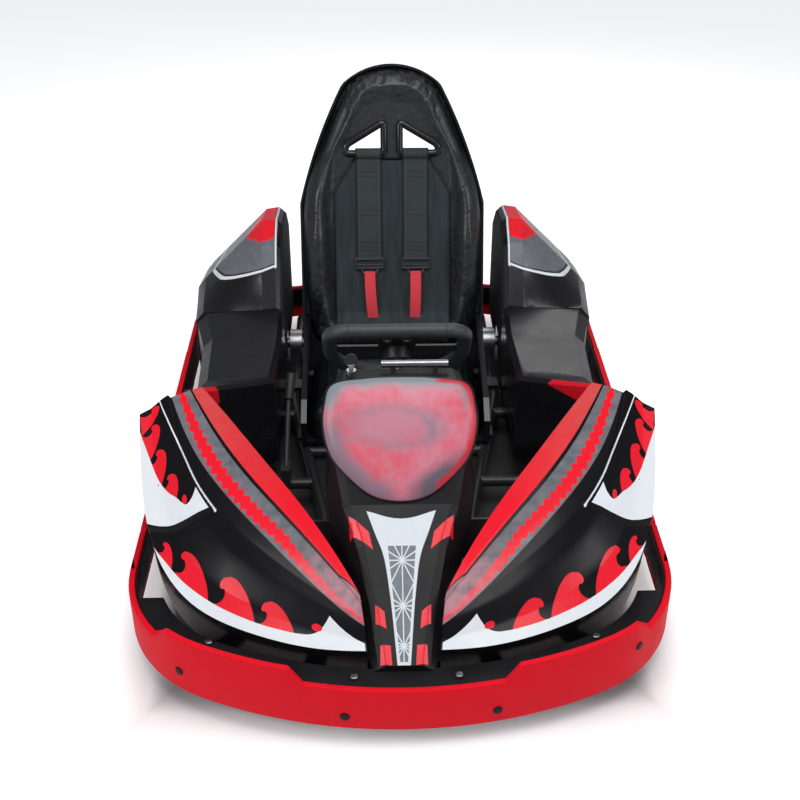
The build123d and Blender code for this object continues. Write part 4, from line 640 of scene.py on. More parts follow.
# Wave columns: front end, length, across at the front of its base, at the rear, height, foot, on the cheek
WAVES = (
    (1.2, 0.56, 0.925, 0.935, 0.19, 1.03, False),
    (1.79, 0.71, 0.93, 0.94, 0.205, 1.03, False),
    (2.58, 0.72, 0.935, 0.95, 0.16, 1.0, False),
    (3.36, 0.3, 0.955, 0.98, 0.09, 1.03, False),
    (3.8, 0.32, 0.72, 0.81, 0.14, 1.03, True),
    (4.15, 0.35, 0.81, 0.92, 0.2, 1.03, True),
    (4.5, 0.29, 0.91, 0.98, 0.25, 1.03, True),
    (4.79, 0.18, 0.97, 0.99, 0.3, 1.0, True),
)
LIP_WHITE = ((0.03, 1, 1), (3.76, 1, 1), (3.5, 0.965, 0), (3.1, 0.942, 0), (2.8, 0.93, 0), (2.3, 0.922, 0),
             (1.8, 0.918, 0), (1.4, 0.907, 0), (1.15, 0.894, 0), (0.97, 0.868, 0), (0.85, 0.81, 0),
             (0.78, 0.74, 0), (0.726, 0.665, 1), (0.03, 0.875, 1))
CHEEK_WHITE = ((3.24, 0.55, 1), (3.99, 1, 1), (4.85, 1, 1), (4.59, 0.9, 0), (4.3, 0.825, 0), (4.0, 0.75, 0),
               (3.817, 0.7, 0), (3.68, 0.676, 0), (3.6, 0.65, 0), (3.58, 0.61, 0), (3.62, 0.545, 1))
# Dot columns: along, across, radius along, radius across, on the cheek
DOTS = ((0.91, 0.8, 0.09, 0.03, False), (3.68, 0.655, 0.055, 0.02, True))
VINYL_GLOSS = {"Coat_Weight": 0.1, "Coat_Roughness": 0.12, "Specular_IOR_Level": 0.25}
wave_red = worn("vinyl_red", (30.0, 5.0), (LIVERY_RED, (214, 26, 44)), 0.4, (0.2, 0.15), **VINYL_GLOSS)
white = worn("vinyl_white", (24.0, 6.0), (LIVERY_WHITE, (208, 214, 221)), 0.5, (0.2, 0.15), **VINYL_GLOSS)
for side, name in SIDES:
    for k, (front, long, base, base_rear, height, foot, cheek) in enumerate(WAVES):
        outline = []
        for at, (a, h) in enumerate(CREST):
            a += (foot - CREST[-1][0]) * (1 - h / CREST[FOOT_FROM - 1][1]) * (at >= FOOT_FROM)
            corner = at in (0, len(CREST) - 1)
            outline.append((front + a * long, base + a * (base_rear - base) - h * height, corner))
        sticker(f"wave_{name}_{k}", outline, on_shell(side, VINYL, cheek), wave_red)
    for k, (x0, y0, rx, ry, cheek) in enumerate(DOTS):
        ring = [(x0 + rx * cos(pi * t / 4), y0 + ry * sin(pi * t / 4), 0) for t in range(8)]
        sticker(f"dot_{name}_{k}", ring, on_shell(side, DOT_LIFT, cheek), wave_red)
    sticker(f"lip_white_{name}", LIP_WHITE, on_shell(side, WHITE_LIFT, False), white)
    sticker(f"cheek_white_{name}", CHEEK_WHITE, on_shell(side, WHITE_LIFT, True), white)
print("stickers", len(WAVES) + len(DOTS) + 2, "a side")

# %% [markdown]
# Edges of moulded shells, tubes and bumpers are never knife sharp. On CAD pieces that stay as they are, a
# Weld and a Bevel modifier round them for the picture without changing the solid.

# %% Soft edges on CAD pieces
# Edge columns: width, segments, nodes
EDGES = (
    (0.004, 3, ("bumper_band_front", "bumper_band_sides", "bumper_band_rear")),
    (0.009, 4, ("nose_spine",)),
    (0.012, 4, ("side_pod_left", "side_pod_right", "rear_cover_left", "rear_cover_right")),
    (0.010, 4, ("seat_shell",)),
    (0.0025, 2, ("bumper_hoop", "harness_bezels", "battery_box", "drive_unit", "brake_caliper")),
    (0.0015, 2, ("accelerator_pedal", "brake_pedal", "steering_spokes", "floor_mats", "drift_lever")),
)
WELD_GAP, EDGE_ANGLE = 0.00002, radians(28)
for width, segments, nodes in EDGES:
    for node in nodes:
        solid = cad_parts[node]
        weld = solid.modifiers.new("weld", "WELD")
        weld.merge_threshold = WELD_GAP
        bevel = solid.modifiers.new("bevel", "BEVEL")
        bevel.width, bevel.segments = width, segments
        bevel.limit_method, bevel.angle_limit = "ANGLE", EDGE_ANGLE
        bevel.use_clamp_overlap = True
print("softened", sum(len(nodes) for *_, nodes in EDGES))

# %% [markdown]
# The nose spine itself is a CAD shell. Its livery is a white strip that widens towards the panel, with a
# grey lattice of starbursts, and three pairs of red blocks. Each star is drawn in the shader: the angle
# round its centre is folded, and where the folded angle times the radius is small there is a line.

# %% Spine livery
SPINE_LIFT = 0.0009
STRIP = ((14, -884), (31, -730), (42, -676), (58, -640), (77, -597))
STRIP_TOP = -612
FIELD_FLARE, FIELD_INSET, FIELD_TOP, FIELD_LOW = 0.105, 6.5, -662, -878
# Star columns: centre, low end and high end of its part of the strip
STARS = ((-690, -733, -600), (-776, -813, -733), (-850, -884, -813))
STAR_FOLD, STAR_LINE = pi / 12, 1.3
STRIP_WHITE, STRIP_ASH = (214, 221, 227), ((82, 92, 100), (118, 127, 134))
BLOCKS = (
    ((72, -636), (116, -602), (114, -633), (63, -669)),
    ((40, -786), (60, -772), (59, -806), (36, -818)),
    ((28, -848), (50, -846), (50, -880), (25, -884)),
)
spine_tree = BVHTree.FromObject(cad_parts["nose_spine"], bpy.context.evaluated_depsgraph_get())


def spine_point(x, y):
    """A place just proud of the spine's top, found by looking straight down at plan millimetres."""
    hit = spine_tree.ray_cast(Vector((x * MM, y * MM, 1)), Vector((0, 0, -1)))[0]
    return np.array([x * MM, y * MM, hit.z + SPINE_LIFT])


lattice = Finish("spine_lattice", **VINYL_GLOSS)
sx, sy, _ = lattice.axes(lattice.node("UVMap"))
strip_half = (sy - STRIP[0][1]) * FIELD_FLARE + STRIP[0][0] - FIELD_INSET
field = (strip_half - abs(sx)).above(0, 0.8) * (FIELD_TOP - sy).above(0, 0.8) * (sy - FIELD_LOW).above(0, 0.8)
lines = None
for centre, low, high in STARS:
    reach = sy - centre
    spoke = sx.math("ARCTAN2", sx, reach).fold(STAR_FOLD) * sx.length(reach)
    zone = (sy - low).above(0, 0.5) * (high - sy).above(0, 0.5)
    star = (STAR_LINE - spoke).above(0, 0.6) * zone
    lines = lines.most(star) if lines else star
ash = lattice.mix(lattice.noise(60.0, 4.0), *STRIP_ASH)
lattice.set(Base_Color=lattice.mix(field * (1.0 - lines), STRIP_WHITE, ash))
lattice.set(Roughness=lattice.noise(24.0, 5.0) * 0.15 + 0.2)
strip_side = [(x, y, y < -800 or x > 70) for x, y in STRIP]
strip_outline = [*strip_side, (0, STRIP_TOP, 0), *[(-x, y, c) for x, y, c in reversed(strip_side)]]
sticker("spine_strip", strip_outline, spine_point, lattice, cuts=(15, 12))
for k, block in enumerate(BLOCKS):
    for side, name in SIDES:
        outline = [(side * x, y, 1) for x, y in block]
        sticker(f"spine_block_{name}_{k}", outline, spine_point, wave_red, cuts=(3, 8))
print("spine livery", len(BLOCKS) * 2 + 1)

# %% [markdown]
# The panel on the console is a domed shield. A grid wrapped round a centre gives rings that follow the
# outline, and the height falls off towards the rim.


# %% Panel
def closed_curve(points, count):
    """Evenly spread places on a smooth closed curve through points."""
    points = np.array(points, dtype=float)
    ends = np.vstack([points[-1:], points, points[:2]])
    places = []
    for k in range(len(points)):
        before, here, there, after = ends[k:k + 4]
        for t in np.arange(24) / 24:
            pull = (there - before) * t + (2 * before - 5 * here + 4 * there - after) * t**2
            places.append(0.5 * (2 * here + pull + (3 * here - before - 3 * there + after) * t**3))
    places = np.array(places + places[:1])
    at = np.linspace(0, 1, count) * run_of(places)[-1]
    return np.column_stack([np.interp(at, run_of(places), places[:, k]) for k in (0, 1)])


def run_of(places):
    """How far along a line each of its places lies."""
    return np.concatenate([[0], np.cumsum(np.linalg.norm(np.diff(places, axis=0), axis=1))])


def mirrored(half):
    """A closed outline from its right half, which starts and ends on the middle line."""
    return [*half, *[(-x, y) for x, y in half[-2:0:-1]]]


PANEL_FOOT, PANEL_HEAD, PANEL_HALF = np.array((0, -585, 372)), np.array((0, -400, 585)), 176
PANEL_PLATE, PANEL_DOME, PANEL_RINGS, PANEL_SPOKES = 14, 9, 16, 96
PANEL_STAND, PANEL_HEM, PANEL_WALL, SIDEWAYS = 2, 1.5, 0.003, np.array((1, 0, 0))
# Right half of the outline as shares of half width and length
SHIELD = ((0, 0.011), (0.36, 0.055), (0.66, 0.2), (0.9, 0.38), (1, 0.6), (0.985, 0.8), (0.88, 0.972),
          (0.45, 1.018), (0, 1.028))
slope = PANEL_HEAD - PANEL_FOOT
panel_long = np.linalg.norm(slope)
panel_up = slope / panel_long
panel_out = np.cross(SIDEWAYS, panel_up)
rim_line = closed_curve(mirrored([(x * PANEL_HALF, y * panel_long) for x, y in SHIELD]), PANEL_SPOKES + 1)
panel_middle = np.array((0, 0.52 * panel_long))
panel, column, row = flat_grid("panel_shield", PANEL_SPOKES + 1, PANEL_RINGS + 3)
points, paint = [], []
for c, r in zip(column, row):
    share = min(r / PANEL_RINGS, 1)
    flat = panel_middle + (rim_line[c] - panel_middle) * share
    tall = PANEL_PLATE * (1 - share**14) + PANEL_DOME * (1 - share**2)
    if r > PANEL_RINGS:
        tall = -PANEL_HEM * (r - PANEL_RINGS)
    place_now = PANEL_FOOT + SIDEWAYS * flat[0] + panel_up * flat[1] + panel_out * (tall + PANEL_STAND)
    points.append(place_now * MM)
    paint.append((flat[0] / PANEL_HALF, share))
move_points(panel, points)
paint_map(panel, paint)
modify(panel, "WELD", merge_threshold=0.0002)
face_up(panel, panel_out)
modify(panel, "SOLIDIFY", thickness=PANEL_WALL, offset=-1.0)
print("panel", len(panel.data.polygons))

# %% [markdown]
# The panel is airbrushed in soft red, pink and grey. An airbrush leaves no hard edge, so wide steps between
# colours, moved about by noise, are enough: a pale pool, its darker ring, and arcs of grey along the rim.

# %% Panel airbrush
airbrush = Finish("panel_airbrush", Coat_Weight=0.1, Coat_Roughness=0.15, Specular_IOR_Level=0.3)
_, ring_at, _ = airbrush.axes(airbrush.node("UVMap"))
panel_x, _, panel_z = airbrush.axes(airbrush.place())
drift = airbrush.noise(9.0, 4.0) - 0.5
fine = airbrush.noise(55.0, 6.0) - 0.5
wide_now = panel_x / (PANEL_HALF * MM) + drift * 0.5
high_now = (panel_z - PANEL_FOOT[2] * MM) / (slope[2] * MM) + drift * 0.25
edge_now = ring_at + drift * 0.22 + fine * 0.05
pool = ((wide_now + 0.12) / 0.58).length((high_now - 0.68) / 0.15) + fine * 0.3
pool_ring = (0.3 - abs(pool - 1.0)).above(0.1, 0.4) * (drift * 3.0 + 0.4)
left_arc = edge_now.above(0.72, 0.2) * (-0.1 - wide_now).above(0, 0.3) * (0.7 - high_now).above(0, 0.2)
right_arc = edge_now.above(0.7, 0.2) * (wide_now - 0.2).above(0, 0.3) * (0.42 - high_now).above(0, 0.2)
top_arc = edge_now.above(0.84, 0.14) * (high_now - 0.8).above(0, 0.1)
red_arc = edge_now.above(0.9, 0.06) * (wide_now - 0.5).above(0, 0.1)
paint_now = airbrush.mix(drift * 2.2 + fine * 0.9 + 0.45, (222, 78, 96), (204, 142, 160))
for share, tint in (((1.0 - pool).above(0.0, 0.9) * 0.6, (178, 138, 156)), (pool_ring, (128, 122, 136)),
                    (left_arc * 0.85, (126, 118, 132)), (right_arc * 0.9, (84, 90, 104)),
                    (top_arc, (132, 143, 149)), (red_arc, (206, 44, 62)),
                    (ring_at.above(0.968, 0.01), GLOSS_BLACK)):
    paint_now = airbrush.mix(share, paint_now, tint)
airbrush.set(Base_Color=paint_now, Roughness=airbrush.noise(200.0, 4.0) * 0.25 + 0.25)
airbrush.bump(airbrush.noise(260.0, 3.0), 0.0006, 0.3)
place(panel, airbrush, nodes="front_panel")
print("airbrush", airbrush.material.name)

# %% [markdown]
# Bolts: black button heads in the red band, bright domes on the flange behind it. A low cylinder rounded by
# a bevel is enough at this size.


# %% Bolts
def bolt(name, at, towards, radius, tall, finish):
    """A button head on a surface, looking along a direction."""
    bpy.ops.object.select_all(action="DESELECT")
    bpy.ops.mesh.primitive_cylinder_add(vertices=24, radius=radius, depth=tall)
    head = bpy.context.object
    head.name = name
    edit(head, lambda: bpy.ops.mesh.bevel(offset=tall * 0.45, segments=4, affect="EDGES"))
    turn = Vector((0, 0, 1)).rotation_difference(Vector(towards)).to_matrix()
    move_points(head, [turn @ v.co + Vector(at) for v in head.data.vertices])
    return place(head, finish, angle=60)


FRONT_ARC_R, FRONT_TIP, FLANGE_TOP = 1.0, -0.95, 0.16
CORNER_FROM, CORNER_AT, CORNER_R = 0.439, (0.29, -0.543), 0.34
# Band bolts by place across and height, flange bolts by place across and distance behind the band's face
BAND_BOLTS = ((-0.485, 0.11), (-0.126, 0.09), (0.196, 0.09), (0.515, 0.14))
FLANGE_BOLTS = ((-0.42, 0.062), (-0.105, 0.044), (0.115, 0.044), (0.42, 0.062))
BAND_HEAD, FLANGE_HEAD, HEAD_LIFT = (0.0105, 0.006), (0.0095, 0.007), 0.003
black_bolt = Finish("black_bolt", Metallic=0.6, Base_Color=colour((30, 22, 24)))
black_bolt.set(Roughness=black_bolt.noise(300.0, 3.0) * 0.3 + 0.3)
for k, (x, z) in enumerate(BAND_BOLTS):
    middle, radius = (0, FRONT_TIP + FRONT_ARC_R), FRONT_ARC_R
    if abs(x) >= CORNER_FROM:
        middle, radius = CORNER_AT, CORNER_R
    middle_x = np.sign(x) * middle[0]
    y = middle[1] - sqrt(radius**2 - (x - middle_x) ** 2)
    out = Vector((x - middle_x, y - middle[1], 0)).normalized()
    bolt(f"band_bolt_{k}", (x, y, z), out, *BAND_HEAD, black_bolt)
for k, (x, behind) in enumerate(FLANGE_BOLTS):
    y = FRONT_TIP + FRONT_ARC_R - sqrt((FRONT_ARC_R - behind) ** 2 - x**2)
    bolt(f"flange_bolt_{k}", (x, y, FLANGE_TOP + HEAD_LIFT), (0, 0, 1), *FLANGE_HEAD, steel)
print("bolts", len(BAND_BOLTS) + len(FLANGE_BOLTS))

# %% [markdown]
# The seat's back is upholstered: a pad with a thick roll round its edge. Rings that shrink from the outline
# to a middle point carry it, and a profile gives the height at each distance from the edge. Voxel remeshing
# evens the mesh out, and cloth under a little pressure then makes the rolls look stuffed.

# %% Stuffing tool
CLOTH_PRESSURE, CLOTH_FRAMES, SEAM_WIDE, SEAM_DEEP = 4.0, 20, 0.0045, 0.005


def stuff(piece, voxel, held, cap):
    """Turns a closed form into a stuffed one: held points stay and no point moves further than the cap."""
    edit(piece, lambda: bpy.ops.mesh.remove_doubles(threshold=0.0002), bpy.ops.mesh.normals_make_consistent)
    modify(piece, "REMESH", mode="VOXEL", voxel_size=voxel)
    start = points_of(piece)
    group = piece.vertex_groups.new(name="held")
    group.add([k for k, at in enumerate(start) if held(at)], 1.0, "REPLACE")
    cloth = piece.modifiers.new("cloth", "CLOTH")
    cloth.settings.vertex_group_mass = "held"
    cloth.settings.use_pressure = True
    cloth.settings.uniform_pressure_force = CLOTH_PRESSURE
    cloth.settings.effector_weights.gravity = 0
    for moment in range(1, CLOTH_FRAMES + 1):
        bpy.context.scene.frame_set(moment)
    blown = piece.evaluated_get(bpy.context.evaluated_depsgraph_get())
    move = points_of(blown) - start
    piece.modifiers.remove(cloth)
    far = np.maximum(np.linalg.norm(move, axis=1), 1e-9)
    move_points(piece, start + move * np.minimum(1, cap / far)[:, None])
    piece.vertex_groups.clear()
    bpy.context.scene.frame_set(1)
    print(piece.name, "swelled by up to", round(float(far.max()) * 1000, 1), "mm before the cap")
    modify(piece, "SUBSURF", levels=1, render_levels=1)


def gap_to(points, line):
    """Distance of flat points to the nearest stretch of a line."""
    points, line = np.asarray(points, dtype=float), np.asarray(line, dtype=float)
    nearest = np.full(len(points), 9.0)
    for a, b in zip(line, line[1:]):
        share = np.clip((points - a) @ (b - a) / max((b - a) @ (b - a), 1e-12), 0, 1)
        nearest = np.minimum(nearest, np.linalg.norm(points - a - share[:, None] * (b - a), axis=1))
    return nearest


def sewn(points, line):
    """How deep a seam along a line sinks each flat point."""
    return np.exp(-(gap_to(points, line) / SEAM_WIDE) ** 2) * SEAM_DEEP


def ring_shares(row, rings):
    """How far out each ring of a pad lies, closer together towards the edge."""
    return np.sin(np.minimum(row, rings) / rings * pi / 2)


print("stuffing tool ready")

# %% [markdown]
# The back pad's outline has straight flanks, sloping shoulders and a round head. The roll is high beside the
# hips and low round the head. After the cloth, the seam round the fabric insert is pressed in, and a Boolean
# opens the two harness slots.

# %% Seat back pad
HIP, SEAT_LEAN = np.array((0, 0.430, 0.200)), radians(19.4)
SEAT_UP = np.array((0, sin(SEAT_LEAN), cos(SEAT_LEAN)))
SEAT_OUT = np.array((0, -cos(SEAT_LEAN), sin(SEAT_LEAN)))
BACK_SIDE = ((0, 0.012), (0.15, 0.012), (0.228, 0.024), (0.242, 0.07), (0.248, 0.12), (0.259, 0.19),
             (0.26, 0.32), (0.258, 0.43), (0.239, 0.515), (0.209, 0.5975), (0.175, 0.68), (0.136, 0.758),
             (0.088, 0.8), (0, 0.815))
# Roll columns: height above the hip line, rise, width, distance of the crest from the edge
ROLL = np.array([(0, 0.044, 0.1, 0.046), (0.33, 0.044, 0.098, 0.046), (0.47, 0.032, 0.085, 0.038),
                 (0.58, 0.014, 0.056, 0.026), (0.66, 0.011, 0.09, 0.03), (0.82, 0.009, 0.13, 0.034)])
PAD_BASE, BACK_MIDDLE, BACK_SPOKES, BACK_RINGS = 0.034, np.array((0, 0.4)), 160, 40
BACK_VOXEL, BACK_CAP, PAD_HELD, SEWN_FROM = 0.0065, 0.009, 0.006, 0.015
INSERT_HALF, INSERT_TOP, INSERT_CUT = 0.165, 0.553, 0.46
INSERT_SIDE = ((INSERT_HALF, 0.0), (INSERT_HALF, INSERT_CUT), (0.108, INSERT_TOP), (0, INSERT_TOP))
SLOT = ((0.028, 0.578), (0.127, 0.578), (0.127, 0.602), (0.028, 0.655))
SLOT_GROW, CUTTER_OUT, CUTTER_HALF = 0.0085, 0.04, 0.08


def seat_point(x, up, out):
    """A place from the seat's own directions: sideways, up the back and towards the driver."""
    return HIP + np.array((x, 0, 0)) + SEAT_UP * up + SEAT_OUT * out


def seat_flat(places):
    """Sideways, up and out of many places."""
    away = np.asarray(places) - HIP
    return np.column_stack([away[:, 0], away @ SEAT_UP, away @ SEAT_OUT])


def back_height(up, edge):
    """Height of the pad's front at a distance from its edge."""
    rise, wide, crest = (np.interp(up, ROLL[:, 0], ROLL[:, k]) for k in (1, 2, 3))
    if edge < crest:
        return (PAD_BASE + rise) * sqrt(max(0, 1 - (1 - edge / crest) ** 2))
    share = min(1, (edge - crest) / (wide - crest))
    return PAD_BASE + rise * (1 - share * share * (3 - 2 * share))


back_line = closed_curve(mirrored(BACK_SIDE), BACK_SPOKES + 1)
back, column, row = flat_grid("seat_back", BACK_SPOKES + 1, BACK_RINGS + 2)
shares = ring_shares(row, BACK_RINGS) * (row <= BACK_RINGS)
flats = BACK_MIDDLE + (back_line[column] - BACK_MIDDLE) * shares[:, None]
edges = gap_to(flats, back_line)
heights = [back_height(flat[1], edge) if r <= BACK_RINGS else 0 for flat, edge, r in zip(flats, edges, row)]
move_points(back, [seat_point(*flat, height) for flat, height in zip(flats, heights)])
stuff(back, BACK_VOXEL, lambda at: (at - HIP) @ SEAT_OUT < PAD_HELD, BACK_CAP)
places = points_of(back)
flats = seat_flat(places)
seam = [*INSERT_SIDE, *[(-x, up) for x, up in reversed(INSERT_SIDE)]]
sink = sewn(flats[:, :2], seam) * (flats[:, 2] > SEWN_FROM)
move_points(back, places - sink[:, None] * SEAT_OUT)
print("back", len(back.data.polygons))

# %% Harness slots
for side in (-1, 1):
    bpy.ops.mesh.primitive_cube_add(size=2)
    cutter = bpy.context.object
    corners = []
    for v in cutter.data.vertices:
        x, up = SLOT[(0 if v.co.x < 0 else 1) if v.co.y < 0 else (3 if v.co.x < 0 else 2)]
        x, up = x + SLOT_GROW * np.sign(v.co.x), up + SLOT_GROW * np.sign(v.co.y)
        corners.append(seat_point(side * x, up, CUTTER_OUT + CUTTER_HALF * v.co.z))
    move_points(cutter, corners)
    edit(cutter, bpy.ops.mesh.normals_make_consistent)
    modify(back, "BOOLEAN", operation="DIFFERENCE", object=cutter, solver="EXACT")
    bpy.data.objects.remove(cutter)
paint_map(back, [tuple(flat[:2]) for flat in seat_flat(points_of(back))])
print("back with slots", len(back.data.polygons))

# %% [markdown]
# Two skins share the pad: wrinkled gloss vinyl on the roll and head, and a matte fabric insert. The paint map
# holds sideways and up, so the insert's outline is a comparison of the two.

# %% Seat finishes
VINYL_DARK, VINYL_PALE, CLOTH_SHADED, CLOTH_LIT = (4, 7, 9), (13, 19, 22), (25, 32, 35), (58, 67, 72)
INSERT_SLOPE, INSERT_SOFT, THREADS = 0.613, 0.003, 2400.0
seat_skin = Finish("seat_skin", Coat_Roughness=0.3, Specular_IOR_Level=0.3)
seat_x, seat_y, _ = seat_skin.axes(seat_skin.node("UVMap"))
cut_line = INSERT_HALF + INSERT_CUT * INSERT_SLOPE - seat_y * INSERT_SLOPE
insert = (cut_line.least(INSERT_HALF) - abs(seat_x)).above(0, INSERT_SOFT)
insert = insert * (INSERT_TOP - seat_y).above(0, INSERT_SOFT)
creases = seat_skin.noise(30.0, 8.0)
fold_at = seat_skin.node("CombineXYZ", None, {"X": seat_x * 5.0, "Y": seat_y * 0.7})
folds_and_shade = seat_skin.noise(9.0, 5.0, fold_at)
threads = (seat_x * THREADS).sine() * (seat_y * THREADS).sine()
vinyl = seat_skin.mix(creases, VINYL_DARK, VINYL_PALE)
# The insert's two tones are lit and shaded cloth, and the streaks that follow the fold bump are painted fold
# shading; the thread pattern is the weave.
fabric = seat_skin.mix(threads * 0.3 + folds_and_shade * 1.5 - 0.25, CLOTH_SHADED, CLOTH_LIT)
seat_skin.set(Base_Color=seat_skin.mix(insert, vinyl, fabric), Roughness=creases * 0.2 + 0.2 + insert * 0.4)
seat_skin.set(Coat_Weight=(1.0 - insert) * 0.85)
on_vinyl = creases * 9.0 + seat_skin.pores(330.0) * 1.6
crinkle = on_vinyl * (1.0 - insert) + (threads * 0.25 + folds_and_shade * 3.0) * insert
seat_skin.bump(crinkle, 0.0016, 0.7)
place(back, seat_skin, nodes="seat_back_pad", angle=50)
print("seat skin", seat_skin.material.name)

# %% [markdown]
# The cushion lies in the tray. It is a crowned slab with side rolls, made in the same way, and pressed
# seams part the rolls and the front from the middle.

# %% Seat cushion
CUSHION_HALF, CUSHION_FRONT, CUSHION_REAR, CUSHION_LOW, CUSHION_TALL = 0.243, 0.062, 0.405, 0.114, 0.078
CUSHION_SPOKES, CUSHION_RINGS, CUSHION_ROUND, CUSHION_SQUARE = 128, 26, 0.03, 0.22
CUSHION_VOXEL, CUSHION_CAP, CUSHION_SEWN = 0.006, 0.006, 0.03
# The middle's crown and the side rolls: rise, place from the middle and spread
CROWN_RISE, CROWN_WIDE, SIDE_RISE, SIDE_AT, SIDE_WIDE = 0.012, 0.2, 0.022, 0.2, 0.045
CUSHION_SEAMS = (((-0.15, 0), (-0.15, 1)), ((0.15, 0), (0.15, 1)), ((-0.15, 0.15), (0.15, 0.15)))
cushion_middle = np.array((0, (CUSHION_FRONT + CUSHION_REAR) / 2))
cushion_reach = np.array((CUSHION_HALF, (CUSHION_REAR - CUSHION_FRONT) / 2))
turns = np.linspace(0, 2 * pi, CUSHION_SPOKES + 1)
square = np.column_stack([np.cos(turns), np.sin(turns)])
square = np.sign(square) * np.abs(square) ** CUSHION_SQUARE * cushion_reach
cushion, column, row = flat_grid("cushion", CUSHION_SPOKES + 1, CUSHION_RINGS + 3)
shares = ring_shares(row, CUSHION_RINGS) * (row <= CUSHION_RINGS + 1)
flats = cushion_middle + square[column] * shares[:, None]
edges = gap_to(flats, cushion_middle + square)
crown = CROWN_RISE * np.exp(-((flats[:, 0] / CROWN_WIDE) ** 2))
crown += SIDE_RISE * np.exp(-(((np.abs(flats[:, 0]) - SIDE_AT) / SIDE_WIDE) ** 2))
rounding = np.sqrt(np.maximum(0, 1 - (1 - np.minimum(edges / CUSHION_ROUND, 1)) ** 2))
tall = CUSHION_TALL * (0.45 + 0.55 * rounding) + (crown - CROWN_RISE) * rounding
tall = np.where(row <= CUSHION_RINGS, tall, 0)
move_points(cushion, [(x, y, CUSHION_LOW + h) for (x, y), h in zip(flats, tall)])
stuff(cushion, CUSHION_VOXEL, lambda at: at[2] < CUSHION_LOW + PAD_HELD, CUSHION_CAP)
places = points_of(cushion)
for seam in CUSHION_SEAMS:
    places[:, 2] -= sewn(places[:, :2], seam) * (places[:, 2] > CUSHION_LOW + CUSHION_SEWN)
move_points(cushion, places)
paint_map(cushion, [(x, y - 0.02) for x, y, _ in places])
place(cushion, seat_skin, nodes="seat_cushion", angle=50)
print("cushion", len(cushion.data.polygons))

# %% [markdown]
# Fat rolled frames line the harness slots, and straps come through them. A round bar along a list of points
# is a curve with a bevel; a strap is a strip of grid that lies on the pad, found by looking along a ray.

# %% Bars and straps
# Where a strap's points lie across its half width, close together at the woven edges, and their rise
STRAP_ACROSS, WOVEN_FROM, WOVEN_RISE = (-1, -0.94, -0.86, -0.4, 0, 0.4, 0.86, 0.94, 1), 0.9, 0.0006


def tube(name, points, radius, finish, body="chassis", closed=False):
    """A round bar along points, from a curve that is turned into a mesh."""
    bar = {"dimensions": "3D", "bevel_depth": radius, "bevel_resolution": 3, "use_fill_caps": not closed}
    piece, knots = drawn(name, "POLY", len(points), closed, **bar)
    for knot, at in zip(knots, points):
        knot.co = (*at, 1)
    pick(piece)
    bpy.ops.object.convert(target="MESH")
    return place(piece, finish, body, angle=60)


def rounded(corners, radius, steps=6):
    """A closed outline with its corners turned into short curves."""
    outline = []
    corners = [np.array(c, dtype=float) for c in corners]
    for k, corner in enumerate(corners):
        ends = []
        for other in (corners[k - 1], corners[(k + 1) % len(corners)]):
            ends.append(corner + (other - corner) / np.linalg.norm(other - corner) * radius)
        for t in np.linspace(0, 1, steps):
            outline.append((1 - t) ** 2 * ends[0] + 2 * t * (1 - t) * corner + t * t * ends[1])
    return outline


def strap(name, centre, half, sheet, finish, nodes=()):
    """A strip of webbing along (x, up, out) places on the seat, thicker at its woven edges."""
    strip, column, row = flat_grid(name, len(STRAP_ACROSS), len(centre))
    run = run_of(np.array(centre))
    places = []
    for c, r in zip(column, row):
        x, up, out = centre[r]
        rise = WOVEN_RISE * (abs(STRAP_ACROSS[c]) > WOVEN_FROM)
        places.append(seat_point(x + STRAP_ACROSS[c] * half, up, out + rise))
    move_points(strip, places)
    paint_map(strip, [(STRAP_ACROSS[c] * half, run[r]) for c, r in zip(column, row)])
    modify(strip, "SOLIDIFY", thickness=sheet, offset=0.0)
    return place(strip, finish, nodes=nodes, angle=50)


BEZEL_ROLL, BEZEL_GROW, BEZEL_OUT, BEZEL_CORNER = 0.0105, 0.006, 0.043, 0.013
middle = np.mean(SLOT, axis=0)
corners = [np.array(at) + BEZEL_GROW * np.sign(at - middle) for at in SLOT]
for side, name in SIDES:
    ring = [seat_point(side * x, up, BEZEL_OUT) for x, up in rounded(corners, BEZEL_CORNER)]
    tube(f"bezel_roll_{name}", ring, BEZEL_ROLL, gloss, closed=True)
print("bezel rolls", len(SIDES))

# %% [markdown]
# Shoulder straps: wide black webbing with a darker woven edge. The ray is cast on the finished pad, so each
# strap rests on it, climbs over the slot's frame and dips through.

# %% Shoulder straps
BELT_X, BELT_HALF, BELT_SHEET, BELT_LOW, BELT_LIFT = 0.067, 0.038, 0.0028, 0.244, 0.0022
BELT_TOP, BELT_STEPS, BELT_FEEL, BELT_EASE = 0.545, 36, (-0.03, 0, 0.03), 7
# Up and out of the places where the strap climbs over the slot's frame and dips through
BELT_OVER = ((0.557, 0.0455), (0.5605, 0.0505), (0.566, 0.0545), (0.572, 0.0558), (0.578, 0.0545),
             (0.5828, 0.0497), (0.5848, 0.043), (0.585, 0.03), (0.585, -0.03))
# Where the strap has been folded, measured up from its lower end
PRESSED = (0.05, 0.061, 0.073, 0.152, 0.167, 0.262, 0.276)
pad_tree = BVHTree.FromObject(back, bpy.context.evaluated_depsgraph_get())


def pad_front(x, up):
    """How far out the pad's front lies at a place on the seat."""
    hit = pad_tree.ray_cast(Vector(seat_point(x, up, 0.3)), Vector(-SEAT_OUT))[0]
    return (np.array(hit) - HIP) @ SEAT_OUT if hit else PAD_BASE


